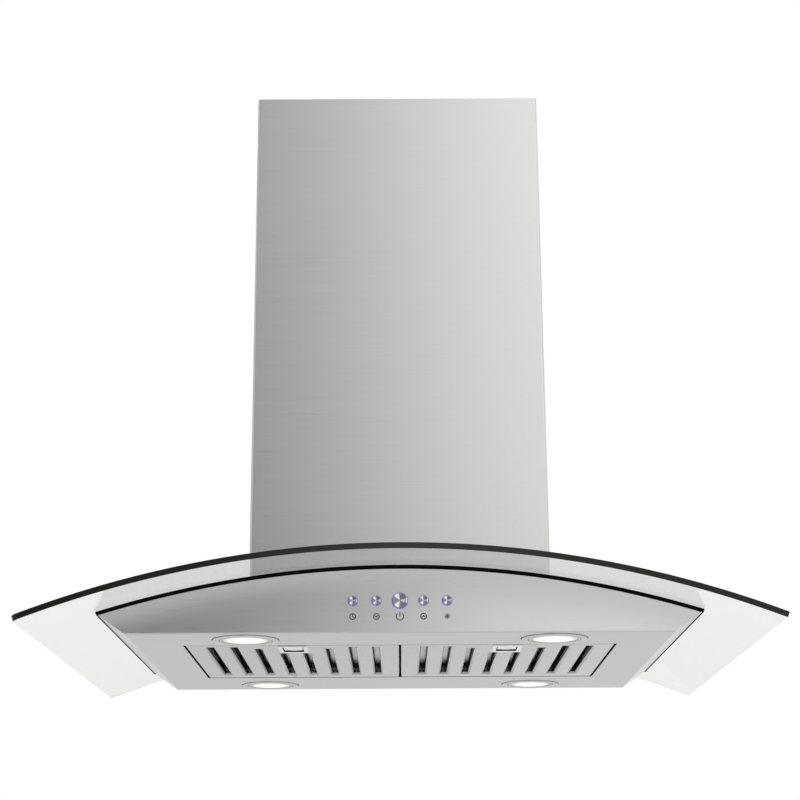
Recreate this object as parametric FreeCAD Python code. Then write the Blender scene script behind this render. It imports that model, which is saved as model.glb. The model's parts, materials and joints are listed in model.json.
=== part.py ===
"""Ceiling-hung range hood with an arched glass canopy, as separate pieces.

Millimetres, +Z up. The origin is the middle of the ceiling plate's top face, the front is -Y.
The hood is modelled fully raised: the upper chimney cover is nested in the lower one.
"""

import FreeCAD, Part

import math
import os

Vector = FreeCAD.Vector
X_AXIS = Vector(1, 0, 0)
Y_AXIS = Vector(0, 1, 0)
Z_AXIS = Vector(0, 0, 1)

# ---------------------------------------------------------------- driving dimensions, mm
hood_drop = 638.0              # ceiling to the underside of the pan, fully raised
sheet = 1.0                    # stainless sheet of the body and the covers
part_gap = 0.5                 # free gap between pieces that move past each other
running_clearance = 0.06       # radial clearance of shafts and pins in their holes
tolerance = 0.01               # for picking edges by their place
hexagon = 6                    # sides
octagon = 8

# Glass canopy
glass_width = 750.0
glass_depth = 610.0
glass_thickness = 6.0
glass_rise = 70.0              # underside in the middle above the tips
glass_corner_radius = 7.0
seal_thickness = 3.5
seal_width = 8.0
seal_pad_margin = 34.0         # seal round the air cut-out, from its edge outwards
air_cutout_width = 236.0
air_cutout_depth = 186.0
air_cutout_radius = 12.0
throat_gap = 4.0               # glass cut-out to the steel collar that passes through it
throat_height = 14.0           # steel collar above the top of the glass
throat_lap_gap = 0.3           # between the body's collar and the motor box's lip

# Body under the glass
pan_width = 557.0
body_top_width = 614.0
body_depth = 442.0
body_bend_radius = 1.6
body_flange_height = 8.0       # spot-weld flanges of the top sheet
body_flange_end = 16.0         # from each end of the pan

# Filters
filter_opening_width = 458.0
filter_opening_front = -143.5
filter_opening_rear = 112.5
filter_side_gap = 2.0
filter_middle_gap = 2.0
filter_front_gap = 1.5
filter_rear_gap = 2.5
filter_height = 12.0
filter_sheet = 0.8
filter_edge_bevel = 1.2
filter_guide_foot = 10.0
slot_count = 8
slot_pitch = 25.25
slot_width = 9.4
slot_rear_margin = 24.0
slot_front_margins = (14.0, 14.0, 26.0, 59.0, 59.0, 26.0, 14.0, 14.0)
slot_lip_height = 4.2
baffle_width = 16.6
baffle_lip_bottom = 3.4        # above the face
baffle_top = 10.4
baffle_rail = 9.0
hook_width = 20.0
hook_reach = 8.0
hook_spacing = 140.0

# Filter latches
latch_plate_width = 31.0
latch_plate_depth = 46.0
latch_plate_inset = 3.0
latch_plate_proud = 0.8
latch_window_width = 21.0
latch_window_depth = 30.0
latch_window_inset = 9.0
latch_cup_height = 8.6
latch_travel = 8.0
latch_slide_roof = 1.6
latch_lip = 1.6
latch_slide_height = 5.6
latch_tongue_width = 11.0
latch_tongue_height = 2.0
latch_tongue_bottom = 2.2
latch_spring_leaf = 0.3
latch_spring_folds = 6
latch_spring_width = 8.0

# Lamps
lamp_x = 159.7
lamp_y = 180.0
lamp_bezel_radius = 35.0
lamp_lens_radius = 25.0
lamp_bezel_proud = 1.2
lamp_lens_thickness = 1.6
lamp_body_width = 51.0         # across the flats of the octagonal lamp body and its lens
lamp_body_height = 18.0
lamp_body_gap = 0.5            # to the edge of the pan's hole

# Controls
button_pitch = 24.0
button_height = 33.0           # above the pan
button_radius = 4.5
power_button_radius = 7.5
light_gap = 0.7                # lit gap round each cap
light_guide_height = 22.0
light_guide_thickness = 1.2
button_proud = 2.4
button_travel = 1.5
button_shank_inset = 0.5       # square shank inside the cap's outline
button_flange = 1.6
stem_width = 3.2
board_setback = 13.0
board_width = 136.0
board_height = 26.0
board_thickness = 1.6
switch_size = 6.0
switch_height = 3.6
board_post_width = 5.0
control_cover_wall = 1.5
control_cover_depth = 12.0

# Chimney
cover_width = 323.4
cover_depth = 270.0
cover_bend = 3.0               # corner that the bend takes off each side
cover_nesting_gap = 2.2
cover_top_gap = 1.0
cover_seat_gap = 0.2
seam_lap = 12.0
upper_cover_bottom = -540.0

# Ceiling plate and frame
ceiling_plate_thickness = 2.0
ceiling_flange = 24.0
duct_opening_width = 172.0
ceiling_bolt_x = 240.0
ceiling_bolt_y = 190.0
ceiling_bolt_hole_radius = 4.0
cable_hole_width = 20.0
frame_head_room = 5.4          # upper cover to upper angle, room for the bolt heads
angle_leg = 25.0
angle_thickness = 2.0
upper_angle_bottom = -480.0
lower_angle_top = -30.0
lower_angle_bottom = -556.0
height_travel = 350.0
frame_bolt_neck = 6.0          # square neck that cannot turn in the slot
frame_bolt_slot_gap = 0.4
frame_bolt_head_width = 9.0     # across the flats
frame_bolt_head = 3.2
frame_bolt_drop = 46.0         # ceiling to the first bolt
frame_bolt_pitch = 60.0
frame_bolt_rows = 2

# Motor box and blower
motor_box_top = -330.0
motor_box_wall = 1.2
collar_radius = 75.0
collar_wall = 1.0
collar_height = 60.0
collar_foot = 2.0              # square foot beyond the round wall
outlet_ledge = 1.0             # motor box top that shows inside the collar and carries the axles
damper_axle_radius = 2.0
damper_axle_spacing = 6.0
damper_thickness = 1.0
damper_edge_gap = 1.5
scroll_wall = 1.2
scroll_width = 112.0
scroll_first_radius = 72.0
scroll_step = 8.0
scroll_centre_y = -26.0
scroll_centre_z = -465.0
scroll_outlet_front = -65.0
scroll_inlet_radius = 52.0
wheel_radius = 60.0
wheel_inner_radius = 49.0
wheel_width = 96.0
wheel_disc = 1.6
wheel_ring = 2.0
blade_count = 20
blade_thickness = 1.0
blade_camber = 2.6
hub_width = 22.0                # across the flats
hub_length = 16.0
shaft_radius = 4.0
motor_width = 66.0             # across the flats of the octagonal stator
motor_length = 46.0
motor_bore_length = 31.0       # holds the shaft as its bearings do
motor_flange_width = 76.0
motor_flange = 2.0
motor_flange_lap = 8.0         # of the flange on the scroll's side

# Wiring box
wiring_box_depth = 84.0
wiring_box_height = 34.0
wiring_box_gap = 3.0           # to the motor box edge and to the outlet collar
gland_width = 14.0             # across the flats
gland_bore_radius = 4.5
gland_length = 14.0

# ---------------------------------------------------------------- worked out from them
pan_z = -hood_drop
arch_radius = ((glass_width / 2) ** 2 + glass_rise**2) / (2 * glass_rise)
arch_axis_z = pan_z + glass_rise - arch_radius
body_front = -body_depth / 2
body_rear = body_depth / 2
pan_top = pan_z + sheet
filter_width = (filter_opening_width - filter_middle_gap) / 2 - filter_side_gap
filter_centre = (filter_middle_gap + filter_width) / 2
filter_front = filter_opening_front + filter_front_gap
filter_rear = filter_opening_rear - filter_rear_gap
button_z = pan_z + button_height
latch_slide_depth = latch_window_depth - part_gap - latch_travel - latch_spring_folds * latch_spring_leaf
throat_width = air_cutout_width - 2 * throat_gap
throat_depth = air_cutout_depth - 2 * throat_gap
far = 2 * hood_drop            # longer than the whole hood, for cutting tools


# ---------------------------------------------------------------- simple solids
def box(x0, x1, y0, y1, z0, z1):
    """Box between two limits along each axis."""
    return Part.makeBox(x1 - x0, y1 - y0, z1 - z0, Vector(x0, y0, z0))


def centred_box(width, depth, z0, z1, x=0.0, y=0.0):
    """Box of a given width and depth centred on (x, y)."""
    return box(x - width / 2, x + width / 2, y - depth / 2, y + depth / 2, z0, z1)


def upright_edges(block):
    """Upright edges of a box."""
    return [edge for edge in block.Edges if abs(edge.tangentAt(0).z) > 0.5]


def rounded_box(width, depth, z0, z1, radius):
    """Centred box whose four upright edges are rounded."""
    block = centred_box(width, depth, z0, z1)
    return block.makeFillet(radius, upright_edges(block))


def cropped_box(width, depth, z0, z1, crop):
    """Centred box whose four upright edges are cropped."""
    block = centred_box(width, depth, z0, z1)
    return block.makeChamfer(crop, upright_edges(block))


def cylinder(start, axis, radius, length):
    """Cylinder from a start point along an axis."""
    return Part.makeCylinder(radius, length, start, axis)


def prism_on(start, axis, sides, width, length):
    """Regular prism from a start point along an axis, of a given width across its flats."""
    half_step = math.pi / sides
    radius = width / 2 / math.cos(half_step)
    turns = [half_step + 2 * half_step * k for k in range(sides + 1)]
    points = [Vector(radius * math.cos(turn), radius * math.sin(turn), 0) for turn in turns]
    prism = Part.Face(Part.makePolygon(points)).extrude(Vector(0, 0, length))
    prism.Placement = FreeCAD.Placement(start, FreeCAD.Rotation(Z_AXIS, axis))
    return prism


def mirrored_x(shape):
    """The same piece on the other side of the middle plane."""
    return shape.mirror(Vector(0, 0, 0), X_AXIS)


def fused(shapes):
    """One solid from pieces that overlap or share faces."""
    first, *rest = shapes
    return first.multiFuse(rest).removeSplitter()


# ---------------------------------------------------------------- the arch of the glass
def arch_z(x, offset=0.0):
    """Height of the arch at x, offset outwards from the underside of the glass."""
    return arch_axis_z + math.sqrt((arch_radius + offset) ** 2 - x * x)


def under_arch(offset, half_width, half_depth):
    """Everything below an arched surface, from upright sides and down to far below the pan."""
    low = pan_z - glass_rise
    corner = arch_z(half_width, offset)
    crown = Part.Arc(
        Vector(half_width, 0, corner),
        Vector(0, 0, arch_z(0, offset)),
        Vector(-half_width, 0, corner),
    ).toShape()
    legs = Part.makePolygon([
        Vector(-half_width, 0, corner),
        Vector(-half_width, 0, low),
        Vector(half_width, 0, low),
        Vector(half_width, 0, corner),
    ])
    face = Part.Face(Part.Wire([crown] + legs.Edges))
    face.translate(Vector(0, -half_depth, 0))
    return face.extrude(Vector(0, 2 * half_depth, 0))


def arch_sheet(low_offset, high_offset, width, depth):
    """Arched sheet between two offsets from the underside of the glass."""
    outer = under_arch(high_offset, width / 2, depth / 2)
    inner = under_arch(low_offset, width, depth)
    return outer.cut(inner)


def arch_frame(low_offset, high_offset, width, depth, opening_width, opening_depth):
    """Arched sheet with a rectangular opening through its middle."""
    opening = centred_box(opening_width, opening_depth, pan_z, pan_z + 2 * glass_rise)
    return arch_sheet(low_offset, high_offset, width, depth).cut(opening)


def throat_top():
    """Top of the steel collar that passes through the glass."""
    return arch_z(0, glass_thickness) + throat_height


# ---------------------------------------------------------------- glass canopy and seal
def make_glass_canopy():
    """Arched glass with radial side edges, rounded corners and an air cut-out."""
    half_angle = math.asin(glass_width / 2 / arch_radius)
    outer_radius = arch_radius + glass_thickness

    def on_arch(radius, angle):
        return Vector(radius * math.sin(angle), 0, arch_axis_z + radius * math.cos(angle))

    corners = [on_arch(radius, side * half_angle) for radius, side in
               ((arch_radius, -1), (arch_radius, 1), (outer_radius, 1), (outer_radius, -1))]
    lower_arc = Part.Arc(corners[0], on_arch(arch_radius, 0), corners[1]).toShape()
    upper_arc = Part.Arc(corners[2], on_arch(outer_radius, 0), corners[3]).toShape()
    right_side = Part.makeLine(corners[1], corners[2])
    left_side = Part.makeLine(corners[3], corners[0])
    face = Part.Face(Part.Wire([lower_arc, right_side, upper_arc, left_side]))
    face.translate(Vector(0, -glass_depth / 2, 0))
    glass = face.extrude(Vector(0, glass_depth, 0))
    corner_edges = [edge for edge in glass.Edges if edge.Length < 2 * glass_thickness]
    glass = glass.makeFillet(glass_corner_radius, corner_edges)
    return glass.cut(rounded_box(air_cutout_width, air_cutout_depth, pan_z, pan_z + 2 * glass_rise,
                                 air_cutout_radius))


def make_glass_seal():
    """Black seal: a rim along the body's top edge and a pad round the air cut-out."""
    rim_width = 2 * side_x(seal_rim_z - pan_z)
    rim = arch_frame(-seal_thickness, 0, rim_width, body_depth,
                     rim_width - 2 * seal_width, body_depth - 2 * seal_width)
    pad = arch_frame(-seal_thickness, 0, air_cutout_width + 2 * seal_pad_margin,
                     air_cutout_depth + 2 * seal_pad_margin, air_cutout_width, air_cutout_depth)
    return Part.makeCompound([rim, pad])


# ---------------------------------------------------------------- body under the glass
seal_rim_z = arch_z(body_top_width / 2, -seal_thickness)
side_run = (body_top_width - pan_width) / 2
side_rise = seal_rim_z - pan_z
side_slope = side_run / side_rise
side_length = math.hypot(side_run, side_rise)


def side_x(height, inset=0.0):
    """Half width of the body's section at a height above the pan, inset square to the side."""
    return pan_width / 2 + height * side_slope - inset * side_length / side_rise


def body_form(inset, top_height):
    """Prism with the body's sloping sides, from `inset` above the pan up to a flat top."""
    low = side_x(inset, inset)
    high = side_x(top_height, inset)
    points = [
        Vector(-low, 0, pan_z + inset),
        Vector(low, 0, pan_z + inset),
        Vector(high, 0, pan_z + top_height),
        Vector(-high, 0, pan_z + top_height),
    ]
    face = Part.Face(Part.makePolygon(points + points[:1]))
    face.translate(Vector(0, body_front, 0))
    return face.extrude(Vector(0, body_depth, 0))


def body_outline():
    """The body's outer form: sloping sides, arched top, rounded front and rear pan folds."""
    form = body_form(0, 2 * glass_rise)
    folds = [edge for edge in form.Edges
             if abs(edge.BoundBox.ZMax - pan_z) < tolerance and edge.BoundBox.YLength < tolerance]
    form = form.makeFillet(body_bend_radius, folds)
    return form.common(under_arch(-seal_thickness, body_top_width, body_depth))


def body_inside():
    """Room between the front and rear panels, above the pan."""
    return box(-far, far, body_front + sheet, body_rear - sheet, pan_top, pan_z + far)


def lamp_places():
    """Lamp centres."""
    return [(sx * lamp_x, sy * lamp_y) for sy in (-1, 1) for sx in (-1, 1)]


def button_places():
    """Push buttons from left to right: name, x and cap radius."""
    names = ("timer", "slower", "power", "faster", "light")
    middle = names.index("power")
    return [(name, (k - middle) * button_pitch, power_button_radius if k == middle else button_radius)
            for k, name in enumerate(names)]


def make_body_wrap():
    """Front panel, pan and rear panel, folded from one sheet, with all their openings."""
    wrap = body_outline().cut(body_inside())
    opening = box(-filter_opening_width / 2, filter_opening_width / 2,
                  filter_opening_front, filter_opening_rear, pan_z - sheet, pan_top + sheet)
    wrap = wrap.cut(opening)
    for x, y in lamp_places():
        wrap = wrap.cut(lamp_octagon(x, y, lamp_body_width + 2 * lamp_body_gap, pan_z - sheet, pan_top + sheet))
    for _, x, radius in button_places():
        start = Vector(x, body_front - sheet, button_z)
        wrap = wrap.cut(cylinder(start, Y_AXIS, radius + light_gap, 3 * sheet))
    return wrap


def make_side_panel():
    """Right-hand sloping side, between the front and rear panels."""
    band = body_outline().common(body_inside()).cut(body_form(sheet, far / 2))
    right = box(0, far, -far, far, pan_z - far, pan_z + far)
    return band.common(right)


def make_body_top():
    """Arched sheet that closes the body, with spot-weld flanges and the collar through the glass."""
    depth = body_depth - 2 * sheet
    low = -seal_thickness - sheet
    top = arch_sheet(low, -seal_thickness, 2 * side_x(side_rise, sheet), depth).common(body_form(sheet, far / 2))
    flange = arch_sheet(-seal_thickness - body_flange_height, -seal_thickness,
                        pan_width - 2 * body_flange_end, sheet)
    flange_y = body_depth / 2 - sheet - sheet / 2
    front = flange.translated(Vector(0, -flange_y, 0))
    rear = flange.translated(Vector(0, flange_y, 0))
    collar = centred_box(throat_width, throat_depth, pan_z, throat_top())
    collar = collar.cut(under_arch(low, throat_width, throat_depth))
    opening = centred_box(throat_width - 2 * sheet, throat_depth - 2 * sheet, pan_z, far)
    return fused([top, front, rear, collar]).cut(opening)


def make_filter_guides():
    """Angle strips along both sides of the filter opening that stiffen the pan and guide the filters."""
    x0 = filter_opening_width / 2
    strip = box(x0, x0 + filter_guide_foot, filter_opening_front, filter_opening_rear, pan_top, pan_top + sheet)
    wall = box(x0, x0 + sheet, filter_opening_front, filter_opening_rear, pan_top, pan_top + filter_height)
    guide = fused([strip, wall])
    return Part.makeCompound([guide, mirrored_x(guide)])


# ---------------------------------------------------------------- baffle filters
def slot_places():
    """Slots of one filter about its own middle: x, front end and rear end."""
    first = -(slot_count - 1) * slot_pitch / 2
    rear = filter_rear - slot_rear_margin
    return [(first + k * slot_pitch, filter_front + slot_front_margins[k % len(slot_front_margins)], rear)
            for k in range(slot_count)]


def make_filter_face():
    """Slotted face with raised edges, lips along the slots, latch opening and rear hooks."""
    tray = box(-filter_width / 2, filter_width / 2, filter_front, filter_rear, pan_z, pan_z + filter_height)
    lower_edges = [edge for edge in tray.Edges if abs(edge.BoundBox.ZMax - pan_z) < tolerance]
    tray = tray.makeChamfer(filter_edge_bevel, lower_edges)
    hollow = box(-filter_width / 2 + filter_sheet, filter_width / 2 - filter_sheet,
                 filter_front + filter_sheet, filter_rear - filter_sheet,
                 pan_z + filter_sheet, pan_z + 2 * filter_height)
    tray = tray.cut(hollow)
    lips = []
    slots = []
    for x, front, rear in slot_places():
        half = slot_width / 2
        lips.append(box(x - half - filter_sheet, x + half + filter_sheet, front, rear,
                        pan_z + filter_sheet / 2, pan_z + filter_sheet + slot_lip_height))
        slots.append(box(x - half, x + half, front, rear, pan_z - sheet, pan_z + filter_height))
    hooks = [box(x - hook_width / 2, x + hook_width / 2, filter_rear - filter_sheet, filter_opening_rear + hook_reach,
                 pan_top + part_gap, pan_top + part_gap + filter_sheet)
             for x in (-hook_spacing / 2, hook_spacing / 2)]
    face = tray.multiFuse(lips + hooks)
    face = face.cut(Part.makeCompound(slots))
    cup = latch_cup_width()
    face = face.cut(box(-cup / 2, cup / 2, latch_window_front() - filter_sheet,
                        latch_window_front() + latch_window_depth + filter_sheet,
                        pan_z - sheet, pan_z + filter_height))
    return face.cut(tongue_passage(filter_front - sheet, latch_window_front()))


def make_filter_baffles():
    """Inverted channels over the slots, joined by a rail at each end."""
    rail_front = filter_front + filter_sheet
    rail_rear = filter_rear - filter_sheet
    top = pan_z + baffle_top
    pieces = [
        box(-filter_width / 2 + filter_sheet, filter_width / 2 - filter_sheet,
            rail_front, rail_front + baffle_rail, top - filter_sheet, top),
        box(-filter_width / 2 + filter_sheet, filter_width / 2 - filter_sheet,
            rail_rear - baffle_rail, rail_rear, top - filter_sheet, top),
    ]
    hollows = []
    low = pan_z + filter_sheet + baffle_lip_bottom
    for x, front, rear in slot_places():
        half = baffle_width / 2
        lip_front = front - filter_sheet
        pieces.append(box(x - half, x + half, lip_front, rear + filter_sheet, low, top))
        pieces.append(box(x - half, x + half, rail_front, rail_rear, top - filter_sheet, top))
        hollows.append(box(x - half + filter_sheet, x + half - filter_sheet, lip_front - sheet,
                           rear + filter_sheet + sheet, low - sheet, top - filter_sheet))
    channels = fused(pieces).cut(Part.makeCompound(hollows))
    cup = latch_cup_width() + 2 * part_gap
    over_latch = box(-cup / 2, cup / 2, filter_front, latch_window_front() + latch_window_depth + sheet,
                     pan_z, top - filter_sheet)
    return channels.cut(over_latch)


# ---------------------------------------------------------------- filter latches
def latch_window_front():
    """Front edge of the finger window."""
    return filter_front + latch_plate_inset + latch_window_inset


def latch_cup_width():
    """Outer width of the latch cup."""
    return latch_window_width + 2 * filter_sheet


def tongue_passage(y0, y1):
    """Clearance way for the latch tongue."""
    half = latch_tongue_width / 2 + part_gap
    low = pan_z + latch_tongue_bottom - part_gap
    return box(-half, half, y0, y1, low, low + latch_tongue_height + 2 * part_gap)


def make_latch_plate():
    """Pressed latch housing: a plate a little proud of the face, with a cup over its finger window."""
    y0 = filter_front + latch_plate_inset
    plate = box(-latch_plate_width / 2, latch_plate_width / 2, y0, y0 + latch_plate_depth,
                pan_z - latch_plate_proud, pan_z)
    w0 = latch_window_front()
    w1 = w0 + latch_window_depth
    cup = box(-latch_cup_width() / 2, latch_cup_width() / 2, w0 - filter_sheet, w1 + filter_sheet,
              pan_z - latch_plate_proud, pan_z + latch_cup_height)
    window = box(-latch_window_width / 2, latch_window_width / 2, w0, w1,
                 pan_z - 2 * latch_plate_proud, pan_z + latch_cup_height - filter_sheet)
    housing = fused([plate, cup]).cut(window)
    return housing.cut(tongue_passage(w0 - 2 * filter_sheet, w0 + filter_sheet))


def make_latch_slide():
    """Sliding latch: a roof with a finger lip at each end and a tongue towards the pan's edge."""
    half = latch_window_width / 2 - part_gap
    y0 = latch_window_front() + part_gap
    y1 = y0 + latch_slide_depth
    low = pan_z + part_gap
    high = pan_z + latch_slide_height
    roof = box(-half, half, y0, y1, high - latch_slide_roof, high)
    front_lip = box(-half, half, y0, y0 + latch_lip, low, high)
    rear_lip = box(-half, half, y1 - latch_lip, y1, low, high)
    tongue_low = pan_z + latch_tongue_bottom
    tongue = box(-latch_tongue_width / 2, latch_tongue_width / 2, filter_front, y0 + latch_lip,
                 tongue_low, tongue_low + latch_tongue_height)
    return fused([roof, front_lip, rear_lip, tongue])


def make_latch_spring():
    """Folded leaf spring between the slide and the rear wall of its cup."""
    y0 = latch_window_front() + part_gap + latch_slide_depth
    y1 = latch_window_front() + latch_window_depth
    low = pan_z + part_gap
    high = pan_z + latch_slide_height
    step = (y1 - y0) / latch_spring_folds
    upright = latch_spring_leaf * math.hypot(step, high - low) / step
    lower = [(y0 + k * step, high - upright if k % 2 else low) for k in range(latch_spring_folds + 1)]
    upper = [(y, z + upright) for y, z in reversed(lower)]
    points = [Vector(-latch_spring_width / 2, y, z) for y, z in lower + upper]
    return Part.Face(Part.makePolygon(points + points[:1])).extrude(Vector(latch_spring_width, 0, 0))


# ---------------------------------------------------------------- lamps
def lamp_octagon(x, y, width, z0, z1):
    """Octagonal prism on a lamp's axis, of a given width across its flats."""
    return prism_on(Vector(x, y, z0), Z_AXIS, octagon, width, z1 - z0)


def make_lamp_bezels():
    """Four flat lamp rings on the underside of the pan."""
    bezels = []
    for x, y in lamp_places():
        low = Vector(x, y, pan_z - lamp_bezel_proud)
        opening = cylinder(low, Z_AXIS, lamp_lens_radius, lamp_bezel_proud)
        bezels.append(cylinder(low, Z_AXIS, lamp_bezel_radius, lamp_bezel_proud).cut(opening))
    return Part.makeCompound(bezels)


def make_lamp_lenses():
    """Four flat lenses behind the bezels' openings."""
    return Part.makeCompound([lamp_octagon(x, y, lamp_body_width, pan_z, pan_z + lamp_lens_thickness)
                              for x, y in lamp_places()])


def make_lamp_bodies():
    """Four closed lamp housings above the lenses."""
    low = pan_z + lamp_lens_thickness
    return Part.makeCompound([lamp_octagon(x, y, lamp_body_width, low, low + lamp_body_height)
                              for x, y in lamp_places()])


# ---------------------------------------------------------------- controls
def light_guide_front():
    """Front face of the light guide, clear of the caps when they are pressed."""
    return body_front + sheet + button_travel + part_gap


def shank_width(cap_radius):
    """Side of the square shank behind a cap."""
    return cap_radius * math.sqrt(2) - button_shank_inset


def button_bar(x, width, y0, y1):
    """Square bar behind a button, on the button's axis."""
    return box(x - width / 2, x + width / 2, y0, y1, button_z - width / 2, button_z + width / 2)


def make_button(x, cap_radius):
    """Round cap with a keyed shank, a retaining flange behind the light guide and a stem to its switch."""
    cap = cylinder(Vector(x, body_front - button_proud, button_z), Y_AXIS, cap_radius, button_proud + sheet)
    flange_front = light_guide_front() + light_guide_thickness + part_gap
    flange_rear = flange_front + sheet
    width = shank_width(cap_radius)
    shank = button_bar(x, width, body_front + sheet, flange_front)
    flange = button_bar(x, width + 2 * button_flange, flange_front, flange_rear)
    stem = button_bar(x, stem_width, flange_rear, switch_front() - button_travel - part_gap)
    return fused([cap, shank, flange, stem])


def switch_front():
    """Front faces of the switches on the control board."""
    return body_front + sheet + board_setback - switch_height


def board_post_x():
    """Distance of the board's posts from the middle plane."""
    return (board_width - board_post_width) / 2


def make_light_guide():
    """Clear lit strip between the board's posts that shows round the caps and guides their shanks."""
    y0 = light_guide_front()
    y1 = y0 + light_guide_thickness
    half_x = board_post_x() - board_post_width / 2
    guide = box(-half_x, half_x, y0, y1, button_z - light_guide_height / 2, button_z + light_guide_height / 2)
    for _, x, radius in button_places():
        guide = guide.cut(button_bar(x, shank_width(radius) + 2 * running_clearance, y0 - sheet, y1 + sheet))
    return guide


def make_control_board():
    """Board behind the buttons with one switch each and four posts to the front panel."""
    back = body_front + sheet + board_setback
    pieces = [box(-board_width / 2, board_width / 2, back, back + board_thickness,
                  button_z - board_height / 2, button_z + board_height / 2)]
    for _, x, _ in button_places():
        pieces.append(button_bar(x, switch_size, back - switch_height, back))
    half = board_post_width / 2
    for x in (-board_post_x(), board_post_x()):
        for z in (button_z - board_height / 2 + half, button_z + board_height / 2 - half):
            pieces.append(box(x - half, x + half, body_front + sheet, back, z - half, z + half))
    return fused(pieces)


def make_control_cover():
    """Moulded cover over the rear of the control board."""
    wall = control_cover_wall
    half_x = board_width / 2 + wall
    half_z = board_height / 2 + wall
    y0 = body_front + sheet + board_setback
    y1 = y0 + control_cover_depth
    shell = box(-half_x, half_x, y0, y1, button_z - half_z, button_z + half_z)
    hollow = box(-half_x + wall, half_x - wall, y0 - wall, y1 - wall,
                 button_z - half_z + wall, button_z + half_z - wall)
    return shell.cut(hollow)


# ---------------------------------------------------------------- chimney covers
lower_cover_top = -cover_top_gap
upper_cover_width = cover_width - 2 * (sheet + cover_nesting_gap)
upper_cover_depth = cover_depth - 2 * (sheet + cover_nesting_gap)


def cover_tube(width, depth, z0, z1):
    """Rectangular tube with bent corners."""
    outer = cropped_box(width, depth, z0, z1, cover_bend)
    inner_crop = cover_bend - (2 - math.sqrt(2)) * sheet
    inner = cropped_box(width - 2 * sheet, depth - 2 * sheet, z0, z1, inner_crop)
    return outer.cut(inner)


def cover_halves(width, depth, z0, z1, lap_top):
    """Front half and rear half; the rear one carries a lap inside each seam, up to a given height."""
    tube = cover_tube(width, depth, z0, z1)
    front = tube.common(box(-far, far, -far, 0, z0, z1))
    rear = tube.common(box(-far, far, 0, far, z0, z1))
    inside = width / 2 - sheet
    lap = box(inside - sheet, inside, -seam_lap, seam_lap, z0, lap_top)
    return front, fused([rear, lap, mirrored_x(lap)])


def make_lower_cover():
    """Lower cover halves, cut to the arch of the glass."""
    halves = cover_halves(cover_width, cover_depth, pan_z, lower_cover_top, lower_cover_top)
    seat = under_arch(glass_thickness + cover_seat_gap, cover_width, cover_depth)
    return [half.cut(seat) for half in halves]


def make_upper_cover():
    """Upper cover halves, hung from the ceiling plate's flange."""
    return cover_halves(upper_cover_width, upper_cover_depth, upper_cover_bottom, -ceiling_plate_thickness,
                        -ceiling_plate_thickness - ceiling_flange)


# ---------------------------------------------------------------- ceiling plate and frame
upper_angle_x = upper_cover_width / 2 - sheet - frame_head_room
upper_angle_y = upper_cover_depth / 2 - sheet - frame_head_room
lower_angle_x = upper_angle_x - angle_thickness - part_gap
lower_angle_y = upper_angle_y - angle_thickness - part_gap


def make_ceiling_plate():
    """Plate with the duct opening, the cable hole, four bolt holes and a turned-down flange all round."""
    width = upper_cover_width - 2 * sheet
    depth = upper_cover_depth - 2 * sheet
    skin = ceiling_plate_thickness
    low = -skin - ceiling_flange
    outer = cropped_box(width, depth, low, 0, cover_bend)
    hollow = centred_box(width - 2 * skin, depth - 2 * skin, low - skin, -skin)
    lead = gland_start()
    holes = [centred_box(duct_opening_width, duct_opening_width, low, skin),
             centred_box(cable_hole_width, cable_hole_width, low, skin, lead.x, lead.y)]
    holes += [cylinder(Vector(sx * ceiling_bolt_x / 2, sy * ceiling_bolt_y / 2, low), Z_AXIS,
                       ceiling_bolt_hole_radius, far)
              for sx in (-1, 1) for sy in (-1, 1)]
    return outer.cut(hollow).cut(Part.makeCompound(holes))


def angle_bar(corner_x, corner_y, z0, z1):
    """Angle bar in the front right quarter, its corner outwards."""
    outer = box(corner_x - angle_leg, corner_x, -corner_y, -corner_y + angle_leg, z0, z1)
    inner = box(corner_x - angle_leg - sheet, corner_x - angle_thickness,
                -corner_y + angle_thickness, -corner_y + angle_leg + sheet, z0, z1)
    return outer.cut(inner)


def bolt_x():
    """Distance of the frame bolts from the middle plane."""
    return lower_angle_x - angle_leg / 2


def frame_bolt_levels():
    """Heights of the frame bolts, from the top down."""
    return [-frame_bolt_drop - k * frame_bolt_pitch for k in range(frame_bolt_rows)]


def make_upper_angle():
    """Front right upper angle with the long slot that the frame bolts slide in."""
    bar = angle_bar(upper_angle_x, upper_angle_y, upper_angle_bottom, -ceiling_plate_thickness)
    half = frame_bolt_neck / 2 + frame_bolt_slot_gap
    levels = frame_bolt_levels()
    slot = box(bolt_x() - half, bolt_x() + half, -upper_angle_y - sheet, -upper_angle_y + 2 * angle_thickness,
               levels[-1] - height_travel - half, levels[0] + half)
    return bar.cut(slot)


def make_lower_angle():
    """Front right lower angle, welded to the motor box's corner."""
    bar = angle_bar(lower_angle_x, lower_angle_y, lower_angle_bottom, lower_angle_top)
    half = frame_bolt_neck / 2
    for level in frame_bolt_levels():
        bar = bar.cut(box(bolt_x() - half, bolt_x() + half, -lower_angle_y - sheet,
                          -lower_angle_y + 2 * angle_thickness, level - half, level + half))
    return bar


def quarters(shape):
    """The front right piece repeated in all four corners, with names."""
    front_left = mirrored_x(shape)
    rear_right = shape.mirror(Vector(0, 0, 0), Y_AXIS)
    return {
        "front_left": front_left,
        "front_right": shape,
        "rear_left": mirrored_x(rear_right),
        "rear_right": rear_right,
    }


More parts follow.
